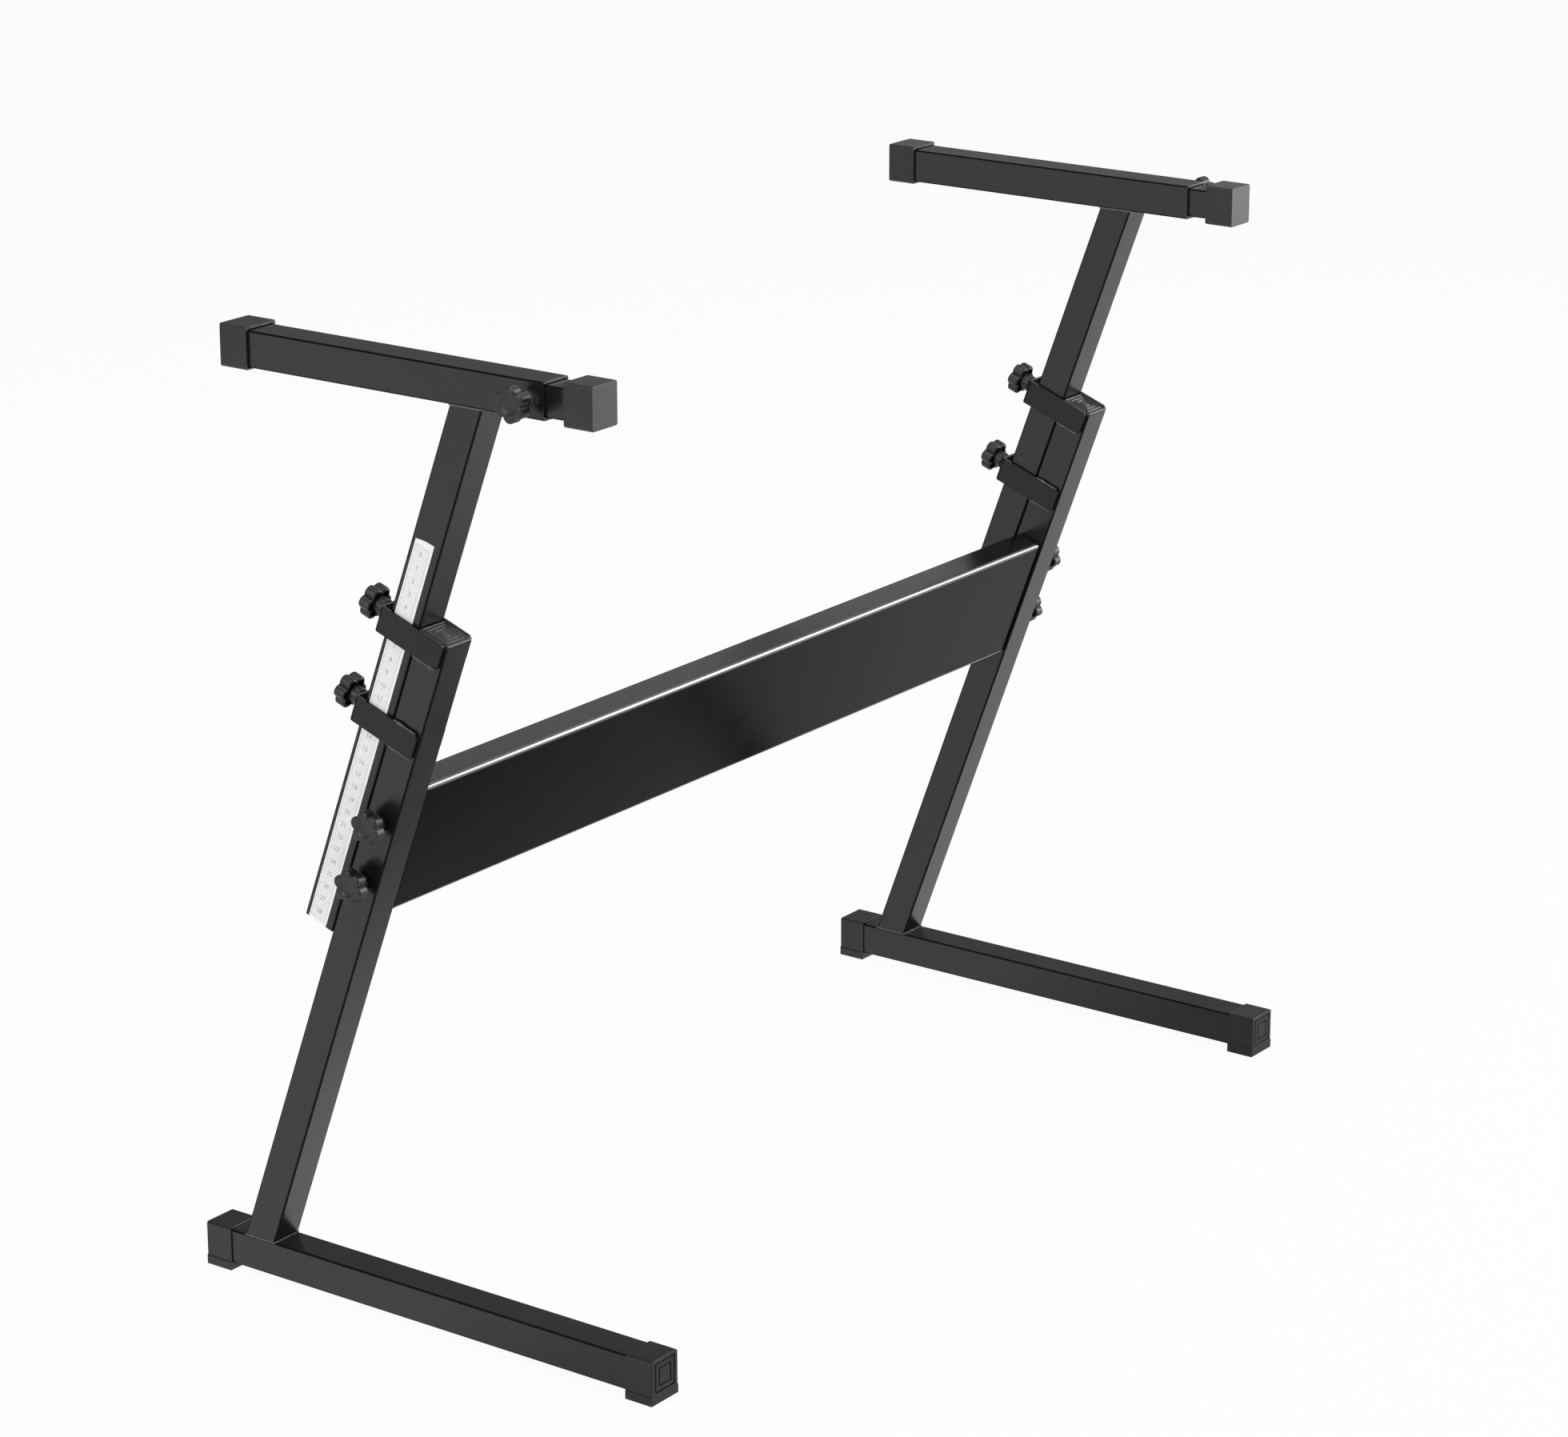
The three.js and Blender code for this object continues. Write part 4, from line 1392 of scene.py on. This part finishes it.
@dataclass
class Mouldings:
    """Foot caps, leg plugs and the boots on the arms."""

    sizes: StandSizes
    cap_wall: float = 1 * MM
    cap_length: float = 22.3 * MM
    cap_end_wall: float = 5 * MM
    cap_base: float = 6 * MM
    cap_step: float = 0.8 * MM
    cap_corner: float = 1.5 * MM
    cap_edge: float = 0.35 * MM
    cap_panel: float = 21.2 * MM
    cap_panel_below_top: float = 2.4 * MM
    cap_groove: float = 1.1 * MM
    cap_groove_depth: float = 0.9 * MM
    cap_pad: float = 11.2 * MM
    cap_draft: float = 0.2 * MM
    cap_square_corner: float = 0.5 * MM
    plug_corner: float = 1.2 * MM
    plug_bevel: float = 0.8 * MM
    plug_soft_edge: float = 0.2 * MM
    plug_shoulder: float = 0.25 * MM
    plug_spigot: float = 14 * MM
    spigot_corner: float = 0.3 * MM
    spigot_lead: float = 1 * MM
    ridge_step: float = 2.7 * MM
    ridge_width: float = 0.6 * MM
    ridge_height: float = 0.6 * MM
    ridge_slope: float = 0.35 * MM
    ridge_corner: float = 0.4 * MM
    least_square: float = 8.64 * MM
    boot_length: float = 22.9 * MM
    boot_end_wall: float = 4 * MM
    boot_side_wall: float = 2 * MM
    boot_corner: float = 1.5 * MM
    boot_edge: float = 0.5 * MM
    boot_rim: float = 0.4 * MM
    boot_pocket_corner: float = 1.2 * MM
    boot_mouth_corner: float = 1.4 * MM

    def build(self) -> None:
        """Makes the mouldings of both sides."""
        for side in Side:
            for end in End:
                self.foot_cap(side, end)
            self.leg_plug(side)
            for end in End:
                self.boot(side, end)

    def push_on(self, form: bmesh.types.BMesh, end: End, middle: Point) -> bpy.types.Mesh:
        """Turns a moulding made along +Z, from its end face, to lie on the end of a tube.

        Args:
            form: the moulding's edit mesh.
            end: which end of the tube.
            middle: middle of the end face in the model's frame.

        Returns:
            The moulding's mesh in its place.
        """
        mesh = mesh_from(form, "moulding")
        turn = Matrix(((1, 0, 0, 0), (0, 0, end.value, 0), (0, 1, 0, 0), (0, 0, 0, 1)))
        mesh.transform(Matrix.Translation(middle) @ turn)
        if turn.determinant() < 0:
            mesh.flip_normals()
        return mesh

    def cap_skin(self, inset: float, height: float) -> list[Point]:
        """The cap's outer outline, with the step above its base.

        Args:
            inset: how far inside the outer faces.
            height: distance from the cap's end face.

        Returns:
            The ring's points, as many as in the outlines of its face.
        """
        half = self.sizes.tube / 2 + self.sizes.seat_gap + self.cap_wall
        top = self.sizes.foot_top + self.sizes.seat_gap + self.cap_wall
        step, corner, edge = self.cap_step, self.cap_corner, self.cap_edge
        right = arc((half - corner, top - corner), corner, 0, 90, 4)
        base = [
            (half + step - edge, 0), (half + step, edge), (half + step, self.cap_base / 2),
            (half + step, self.cap_base), (half, self.cap_base + step),
        ]
        left = [(-x, z) for x, z in (*reversed(right), *reversed(base))]
        return [
            (x - math.copysign(inset, x), z - math.copysign(inset, z - top / 2), height)
            for x, z in right + left + base
        ]

    def foot_cap(self, side: Side, end: End) -> None:
        """Makes a foot cap: a pocket for the tube, a stepped base and nested squares on its end.

        Args:
            side: side of the stand.
            end: front or rear end of the foot.
        """
        sizes = self.sizes
        pocket = sizes.tube + 2 * sizes.seat_gap
        tube_middle = sizes.foot_top - sizes.tube / 2
        top = sizes.foot_top + sizes.seat_gap + self.cap_wall
        face_middle = top - self.cap_panel_below_top - self.cap_panel / 2
        draft, depth, corner = self.cap_draft, self.cap_groove_depth, self.cap_square_corner
        squares = [(pocket, tube_middle, self.cap_end_wall), (pocket, tube_middle, self.cap_length)]
        for outer in (self.cap_panel, self.cap_pad + 2 * self.cap_groove):
            inner = outer - 2 * self.cap_groove
            squares += [
                (outer, face_middle, 0.0),
                (outer - 2 * draft, face_middle, depth),
                (inner + 2 * draft, face_middle, depth),
                (inner, face_middle, draft / 2),
                (inner - draft, face_middle, 0.0),
            ]
        rings = [
            [(x, z, height) for x, z in Terrace(size, size, corner, 0, middle).outline(4)]
            for size, middle, height in squares
        ]
        edge = self.cap_edge
        skin = [self.cap_skin(edge, self.cap_length), self.cap_skin(0, self.cap_length - edge)]
        skin += [self.cap_skin(edge - out, up) for out, up in arc((0.0, edge), edge, 0, -90, 3)]
        form = lofted(rings[:2] + skin + rings[2:])
        middle = (sizes.side_x(side), -end.value * sizes.foot_length / 2, 0)
        node = f"{side.label}_foot_cap_{end.label}"
        mesh = self.push_on(form, end, middle)
        place_mesh(f"{node}_moulding", mesh, CAP_PLASTIC, "base_frame", node)

    def leg_plug(self, side: Side) -> None:
        """Makes the ridged plug on a lower leg.

        Args:
            side: side of the stand.
        """
        sizes = self.sizes
        outer, corner = sizes.tube, self.plug_corner
        spigot = outer - 2 * sizes.tube_wall - 2 * sizes.seat_gap
        head = sizes.plug_head - sizes.plug_lip - sizes.seat_gap
        floor = head - self.ridge_height
        width = outer - 2 * self.plug_bevel
        soft, lead = self.plug_soft_edge, self.spigot_lead
        squares = [
            (spigot - lead, self.spigot_corner, -self.plug_spigot),
            (spigot, self.spigot_corner, -self.plug_spigot + lead),
            (spigot, self.spigot_corner, 0),
            (outer - 2 * soft, corner, 0),
            (outer, corner, soft),
            (outer, corner, head - self.plug_bevel),
            (outer - self.plug_bevel, corner * 0.7, head - self.plug_shoulder),
            (width, corner * 0.5, head),
        ]
        ridge, step, slope = self.ridge_width, self.ridge_step, self.ridge_slope
        while width > self.least_square:
            for inset, height in ((ridge, head), (ridge + slope, floor), (step, floor)):
                squares.append((width - 2 * inset, self.ridge_corner, height))
            width -= 2 * (step + slope)
            squares.append((width, slope, head))
        levels = [Terrace(size, size, radius, height) for size, radius, height in squares]
        form = terraced_block(levels, steps=3)
        seat = sizes.lower_leg + sizes.plug_lip + sizes.seat_gap
        place = Matrix.Translation((sizes.side_x(side), sizes.tube / 2, seat))
        mesh = mesh_from(form, "plug")
        mesh.transform(sizes.leg_frame @ place)
        node = f"{side.label}_leg_plug"
        place_mesh(f"{node}_moulding", mesh, CAP_PLASTIC, "base_frame", node)

    def boot_pocket(self, end: End) -> float:
        """Width of the pocket in the boot at this end of an arm."""
        tube = self.sizes.extension if end is End.FRONT else self.sizes.tube
        return tube + 2 * self.sizes.seat_gap

    def boot_width(self, end: End) -> float:
        """Width of the boot at this end of an arm."""
        return self.boot_pocket(end) + 2 * self.boot_side_wall

    def boot(self, side: Side, end: End) -> None:
        """Makes a rubber boot.

        Args:
            side: side of the stand.
            end: end of the arm.
        """
        sizes = self.sizes
        node = f"{side.label}_boot_{end.label}"
        low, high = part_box(node)
        width, height = self.boot_width(end), high.z - low.z
        middle = (low.z + high.z) / 2
        lift = sizes.arm_bottom + sizes.tube / 2 - middle
        length, edge, corner = self.boot_length, self.boot_edge, self.boot_corner
        pocket, floor = self.boot_pocket(end), self.boot_end_wall
        rim, mouth = self.boot_rim, self.boot_mouth_corner
        levels = [
            Terrace(pocket, pocket, self.boot_pocket_corner, floor),
            Terrace(pocket, pocket, self.boot_pocket_corner, length - rim),
            Terrace(pocket + 2 * rim, pocket + 2 * rim, mouth, length),
            Terrace(width - 2 * rim, height - 2 * rim, corner, length),
            Terrace(width, height, corner, length - rim),
        ]
        for out, up in arc((0.0, edge), edge, 0, -90, 5):
            inset = 2 * (edge - out)
            levels.append(Terrace(width - inset, height - inset, corner, up))
        form = terraced_block(levels, steps=4)
        reach = pocket / 2 + self.boot_edge
        for vert in form.verts:
            inside = max(abs(vert.co.x), abs(vert.co.y)) <= reach
            if inside and vert.co.z >= floor - JOIN_DISTANCE:
                vert.co.y += lift
        start = low.y if end is End.FRONT else high.y
        mesh = self.push_on(form, end, (sizes.side_x(side), start, middle))
        place_mesh(f"{node}_moulding", mesh, BOOT_RUBBER, arm_body(side, end), node)


class RibComb(NodePress):
    """Geometry Nodes that stack level ribs on a boot's side."""

    def __init__(self) -> None:
        """Builds the tree once, for all boots."""
        super().__init__("rib_comb", (
            ("Count", "Int", 8),
            ("Pitch", "Float", 2.6 * MM),
            ("Rib Length", "Float", 18 * MM),
            ("Rib Radius", "Float", 0.4 * MM),
            ("Head Radius", "Float", 0.7 * MM),
        ))
        add, do, given = self.sheet.add, self.sheet.math, self.given
        half = do("MULTIPLY", given["Rib Length"], 0.5)
        start, end = (
            add("ShaderNodeCombineXYZ", {"Y": do("MULTIPLY", half, sign)}) for sign in (-1.0, 1.0)
        )
        spine = add("GeometryNodeCurvePrimitiveLine", {"Start": start, "End": end})
        circle = {"Resolution": 12, "Radius": given["Rib Radius"]}
        ring = add("GeometryNodeCurvePrimitiveCircle", circle)
        swept = {"Curve": spine, "Profile Curve": ring, "Fill Caps": True}
        ball = {"Segments": 14, "Rings": 8, "Radius": given["Head Radius"]}
        head = {"Geometry": add("GeometryNodeMeshUVSphere", ball), "Translation": end}
        both = add("GeometryNodeJoinGeometry")
        for piece in (add("GeometryNodeCurveToMesh", swept), add("GeometryNodeTransform", head)):
            self.sheet.feed(both.inputs["Geometry"], piece)
        self.stack(given["Count"], {"Z": given["Pitch"]}, both)


@dataclass
class BootRibs:
    """The level ribs on both sides of each boot, each with a round head toward the arm."""

    mouldings: Mouldings
    comb: RibComb
    count: int = 17
    pitch: float = 1.55 * MM
    radius: float = 0.42 * MM
    head: float = 0.62 * MM
    margin: float = 0.8 * MM
    sunk: float = 0.06 * MM

    def build(self) -> None:
        """Makes the ribs of every boot."""
        for side in Side:
            for end in End:
                self.rib(side, end)

    def rib(self, side: Side, end: End) -> None:
        """Makes the ribs of one boot.

        Args:
            side: side of the stand.
            end: end of the arm.
        """
        node = f"{side.label}_boot_{end.label}"
        low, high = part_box(node)
        values = {
            "Count": self.count, "Pitch": self.pitch, "Rib Radius": self.radius,
            "Rib Length": high.y - low.y - 2 * self.margin, "Head Radius": self.head,
        }
        single = self.comb.run(f"{node}_rib_column", BOOT_RUBBER, values)
        form = bmesh.new()
        bottom = (low.z + high.z) / 2 - self.pitch * (self.count - 1) / 2
        reach = self.mouldings.boot_width(end) / 2 - self.sunk
        for sx in (-1, 1):
            column = single.copy()
            face = self.mouldings.sizes.side_x(side) + sx * reach
            place = Matrix.Translation((face, (low.y + high.y) / 2, bottom))
            column.transform(place @ Matrix.Diagonal((1, end.value, 1, 1)))
            if end is End.REAR:
                column.flip_normals()
            form.from_mesh(column)
            bpy.data.meshes.remove(column)
        mesh = mesh_from(form, f"{node}_ribs")
        place_mesh(f"{node}_rib_set", mesh, BOOT_RUBBER, arm_body(side, end), crease=60)


# ---------------------------------------------------------------------------
# Height scale
# ---------------------------------------------------------------------------


class TickRow(NodePress):
    """Geometry Nodes that repeat a printed tick at a fixed pitch."""

    def __init__(self) -> None:
        """Builds the tree once, for all rows."""
        super().__init__("tick_row", (
            ("Count", "Int", 29),
            ("Pitch", "Float", 10 * MM),
            ("Length", "Float", 2 * MM),
            ("Width", "Float", 0.2 * MM),
            ("Thickness", "Float", 0.02 * MM),
        ))
        given = self.given
        sides = {"X": given["Thickness"], "Y": given["Length"], "Z": given["Width"]}
        size = self.sheet.add("ShaderNodeCombineXYZ", sides)
        tick = self.sheet.add("GeometryNodeMeshCube", {"Size": size})
        self.stack(given["Count"], {"Z": self.sheet.math("MULTIPLY", given["Pitch"], -1.0)}, tick)


@dataclass
class HeightScale:
    """The white strip on each upper leg, with its frame line, ticks and centimetre numbers."""

    sizes: StandSizes
    ticks: TickRow
    width: float = 15.6 * MM
    margin: float = 3.4 * MM
    film: float = 0.2 * MM
    length: float = 299.2 * MM
    crown: float = 0.6 * MM
    slant: float = 2 * MM
    rear_inset: float = 1.3 * MM
    front_inset: float = 2.2 * MM
    line_bottom: float = 252.1 * MM
    line_top: float = 542.8 * MM
    line_width: float = 0.16 * MM
    ink: float = 0.02 * MM
    print_lift: float = 0.012 * MM
    rear_ticks: Spot = (2.2 * MM, 1.2 * MM)
    front_ticks: Spot = (1.9 * MM, 0.9 * MM)
    zero_along: float = 537.5 * MM
    pitch: float = 10 * MM
    last_number: int = 28
    digit_size: float = 4.83 * MM
    digit_from_rear: float = 10.4 * MM

    @property
    def rear(self) -> float:
        """Depth of the strip's rear edge."""
        return self.sizes.seam + self.sizes.tube - self.margin

    @property
    def front(self) -> float:
        """Depth of the strip's front edge."""
        return self.rear - self.width

    def build(self) -> None:
        """Makes both strips' film and print."""
        for side in Side:
            film = plate(self.outline(), side.value * self.film)
            node = f"{side.label}_height_scale"
            self.put(side, "height_scale_film", film, FILM, -self.film, node)
            front, rear, low, high = self.line_box
            corners = ((front, low), (rear, low), (rear, high), (front, high))
            field_plate = plate(corners, side.value * self.ink)
            self.put(side, "scale_field", field_plate, FILM_FIELD, -0.5 * self.ink)
            self.put(side, "scale_lines", self.lines(), SCALE_INK, self.print_lift)
            self.put(side, "scale_digits", self.digits(side), SCALE_INK, self.print_lift)

    def put(
        self,
        side: Side,
        name: str,
        form: bmesh.types.BMesh,
        finish: Finish,
        lift: float,
        *replaced: str,
    ) -> None:
        """Lays a piece on a leg's outer face.

        Args:
            side: side of the stand.
            name: name of the piece after the side's.
            form: its edit mesh, with X leaving the face, Y depth and Z along the leg.
            finish: its surface.
            lift: distance above the film.
            replaced: nodes that it stands for.
        """
        mesh = mesh_from(form, name)
        x = side.value * (self.sizes.span / 2 + self.film + lift)
        mesh.transform(self.sizes.leg_frame @ Matrix.Translation((x, 0, 0)))
        place_mesh(f"{side.label}_{name}", mesh, finish, f"{side.label}_upright", *replaced)

    def outline(self) -> list[Spot]:
        """The film's outline, its upper end crowned and lower toward the rear.

        Returns:
            Depth and height of each point.
        """
        low = self.sizes.upper_leg_start + self.sizes.seat_gap
        high = self.sizes.upper_leg_start + self.length
        points = [(self.front, low), (self.rear, low)]
        steps = 8
        for step in range(steps + 1):
            share = step / steps
            rise = self.crown * math.sin(share * math.pi) - self.slant * (1 - share)
            points.append((self.rear - share * self.width, high + rise))
        return points

    @property
    def line_box(self) -> tuple[float, float, float, float]:
        """Front and rear depth, bottom and top of the printed frame line."""
        front, rear = self.front + self.front_inset, self.rear - self.rear_inset
        return front, rear, self.line_bottom, self.line_top

    def ribbon(self, form: bmesh.types.BMesh, points: Sequence[Spot]) -> None:
        """Adds a thin printed line through points of the face.

        Args:
            form: edit mesh to add to.
            points: depth and height of each point.
        """
        half = self.line_width / 2
        for (y0, z0), (y1, z1) in zip(points, points[1:]):
            along = Vector((0, y1 - y0, z1 - z0)).normalized() * half
            across = Vector((0, -along.z, along.y))
            a, b = Vector((0, y0, z0)) - along, Vector((0, y1, z1)) + along
            corners = [a - across, b - across, b + across, a + across]
            low, high = (
                [form.verts.new(c + Vector((lift, 0, 0))) for c in corners]
                for lift in (-self.ink, self.ink)
            )
            form.faces.new(low)
            form.faces.new(high)
            for i in range(4):
                j = (i + 1) % 4
                form.faces.new((low[i], low[j], high[j], high[i]))

    def lines(self) -> bmesh.types.BMesh:
        """The frame line and the ticks.

        Returns:
            The edit mesh.
        """
        form = bmesh.new()
        front, rear, low, high = self.line_box
        self.ribbon(form, [(rear, low), (rear, high), (front, high), (front, low), (rear, low)])
        for edge, inward, lengths in ((rear, -1, self.rear_ticks), (front, 1, self.front_ticks)):
            for half_steps, length in enumerate(lengths):
                values = {
                    "Count": self.last_number + 1 - half_steps, "Pitch": self.pitch,
                    "Length": length, "Width": self.line_width, "Thickness": 2 * self.ink,
                }
                row = self.ticks.run("ticks", SCALE_INK, values)
                along = self.zero_along - half_steps * self.pitch / 2
                row.transform(Matrix.Translation((0, edge + inward * length / 2, along)))
                form.from_mesh(row)
                bpy.data.meshes.remove(row)
        return form

    def digits(self, side: Side) -> bmesh.types.BMesh:
        """The centimetre numbers, which read upright along the leg.

        Args:
            side: side of the stand.

        Returns:
            The edit mesh.
        """
        form = bmesh.new()
        depth = self.sizes.seam + self.sizes.tube - self.digit_from_rear
        upright = Matrix(((0, 0, side.value, 0), (side.value, 0, 0, 0), (0, 1, 0, 0), (0, 0, 0, 1)))
        for number in range(self.last_number + 1):
            name = f"number_{number}"
            text = bpy.data.curves.new(name, "FONT")
            text.body = str(number)
            text.size = self.digit_size
            text.align_x = text.align_y = "CENTER"
            text.resolution_u = 4
            text.extrude = self.ink
            mesh = taken_mesh(set_down(name, text), name)
            place = Matrix.Translation((0, depth, self.zero_along - number * self.pitch))
            mesh.transform(place @ upright)
            form.from_mesh(mesh)
            bpy.data.meshes.remove(mesh)
        bmesh.ops.remove_doubles(form, verts=form.verts, dist=JOIN_DISTANCE / 10)
        return form


# ---------------------------------------------------------------------------
# Studio
# ---------------------------------------------------------------------------


@dataclass(frozen=True)
class SoftBox:
    """An area lamp: where it stands, what it points at, its size and its strength."""

    name: str
    place: Point
    target: Point
    size: Spot
    watts: float


@dataclass
class Studio:
    """Floor, white surround, lamps and the camera."""

    azimuth: float = math.radians(-53.915)
    elevation: float = math.radians(17.598)
    roll: float = math.radians(-0.067)
    camera_place: Point = (-2.6439, -1.9417, 1.3749)
    focal_pixels: float = 5976.13
    picture_width: int = 1960
    sensor: float = 36.0
    floor_size: float = 30.0
    floor_white: float = 0.9
    white_share: float = 0.96
    gloss_share: float = 0.97
    # Painted shade: in reflections the floor's white fades to a low strength around a spot near the
    # stand's middle, a painted shadow that the camera never sees directly.
    gloss_under_stand: float = 0.1
    shade_centre: Point = (0.05, -0.2, 0.0)
    shade_reach: Spot = (0.0, 0.72)
    shade_stretch: Point = (1.0, 2.5, 1.0)
    white: float = 0.99
    fill: float = 0.25
    lamps: tuple[SoftBox, ...] = (
        SoftBox("overhead", (-0.6, -0.8, 3.2), (0.0, 0.0, 0.4), (2.6, 2.6), 70.0),
        SoftBox("right_front", (2.5, -1.95, 1.35), (0.0, 0.0, 0.5), (0.9, 2.5), 90.0),
        SoftBox("right_high", (2.4, 0.75, 2.3), (0.0, 0.0, 0.4), (2.0, 1.5), 9.0),
        SoftBox("left", (-3.2, 0.4, 1.6), (0.0, 0.0, 0.4), (1.6, 1.8), 46.0),
    )

    def build(self) -> None:
        """Builds the studio and sets the view."""
        scene = bpy.context.scene
        scene.view_settings.view_transform = "Standard"
        self.floor()
        self.surround()
        for lamp in self.lamps:
            self.lamp(lamp)
        self.camera()

    def mirrored_white(self, sheet: NodeSheet) -> bpy.types.Node:
        """How white the floor is in a reflection: less in a painted shade near the middle of the
        stand.

        Args:
            sheet: the floor's nodes.

        Returns:
            The strength.
        """
        spot = sheet.add("ShaderNodeTexCoord").outputs["Object"]
        for operation, value in (("SUBTRACT", self.shade_centre), ("MULTIPLY", self.shade_stretch)):
            spot = sheet.add("ShaderNodeVectorMath", {0: spot, 1: value}, operation=operation)
        away = sheet.add("ShaderNodeVectorMath", {0: spot}, operation="LENGTH")
        return sheet.add("ShaderNodeMapRange", {
            "Value": away.outputs["Value"],
            "From Min": self.shade_reach[0], "From Max": self.shade_reach[1],
            "To Min": self.gloss_under_stand, "To Max": self.gloss_share,
        })

    def floor(self) -> None:
        """Lays the pale floor, which keeps the stand's shadow."""
        half = self.floor_size / 2
        mesh = bpy.data.meshes.new("studio_floor")
        corners = [(-half, -half, 0), (half, -half, 0), (half, half, 0), (-half, half, 0)]
        mesh.from_pydata(corners, [], [(0, 1, 2, 3)])
        material = bpy.data.materials.new("pale_floor")
        material.use_nodes = True
        sheet = NodeSheet(material.node_tree)
        sheet.tree.nodes.clear()
        surface = sheet.add("ShaderNodeBsdfDiffuse", {"Color": (*(self.floor_white,) * 3, 1)})
        rays = sheet.add("ShaderNodeLightPath").outputs
        straight = sheet.math("MULTIPLY", rays["Is Camera Ray"], self.white_share)
        mirrored = sheet.math("MAXIMUM", rays["Is Glossy Ray"], rays["Is Transmission Ray"])
        # The glow that reflections see carries the painted shade.
        for share, strength in ((straight, self.white), (mirrored, self.mirrored_white(sheet))):
            glow = sheet.add("ShaderNodeEmission", {"Strength": strength})
            surface = sheet.add("ShaderNodeMixShader", {0: share, 1: surface, 2: glow})
        sheet.add("ShaderNodeOutputMaterial", {"Surface": surface})
        mesh.materials.append(material)
        set_down("studio_floor", mesh)

    def surround(self) -> None:
        """Makes the surround white to the viewer and a soft fill to the stand."""
        world = bpy.data.worlds.new("white_surround")
        bpy.context.scene.world = world
        world.use_nodes = True
        sheet = NodeSheet(world.node_tree)
        sheet.tree.nodes.clear()
        seen = sheet.add("ShaderNodeBackground", {"Strength": self.white})
        fill = sheet.add("ShaderNodeBackground", {"Strength": self.fill})
        straight = sheet.add("ShaderNodeLightPath").outputs["Is Camera Ray"]
        mix = sheet.add("ShaderNodeMixShader", {0: straight, 1: fill, 2: seen})
        sheet.add("ShaderNodeOutputWorld", {"Surface": mix})

    def lamp(self, box: SoftBox) -> None:
        """Hangs a soft box.

        Args:
            box: what to hang and where.
        """
        data = bpy.data.lights.new(box.name, "AREA")
        data.shape = "RECTANGLE"
        data.size, data.size_y = box.size
        data.energy = box.watts
        turn = (Vector(box.target) - Vector(box.place)).to_track_quat("-Z", "Y")
        place = Matrix.Translation(box.place)
        set_down(box.name, data).matrix_world = place @ turn.to_matrix().to_4x4()

    def camera(self) -> None:
        """Sets the camera where the photograph was taken from."""
        a, e, r = self.azimuth, self.elevation, self.roll
        back = Vector((math.sin(a) * math.cos(e), -math.cos(a) * math.cos(e), math.sin(e)))
        level = Vector((math.cos(a), math.sin(a), 0))
        rise = back.cross(level)
        right = math.cos(r) * level + math.sin(r) * rise
        up = -math.sin(r) * level + math.cos(r) * rise
        data = bpy.data.cameras.new("photo_camera")
        data.sensor_width = self.sensor
        data.lens = self.focal_pixels / self.picture_width * self.sensor
        data.clip_start, data.clip_end = 0.05, 60.0
        holder = set_down("photo_camera", data)
        columns = Matrix((right, up, back)).transposed().to_4x4()
        holder.matrix_world = Matrix.Translation(self.camera_place) @ columns
        bpy.context.scene.camera = holder


def main() -> None:
    """Builds the stand's pieces and the studio."""
    logging.basicConfig(level=logging.INFO, format="%(name)s: %(message)s")
    sizes = StandSizes()
    Studio().build()
    SteelFrame(sizes, WeldGun()).build()
    mouldings = Mouldings(sizes)
    mouldings.build()
    BootRibs(mouldings, RibComb()).build()
    HeightScale(sizes, TickRow()).build()
    Fasteners(sizes, TurningLathe()).build()


if __name__ == "__main__":
    main()
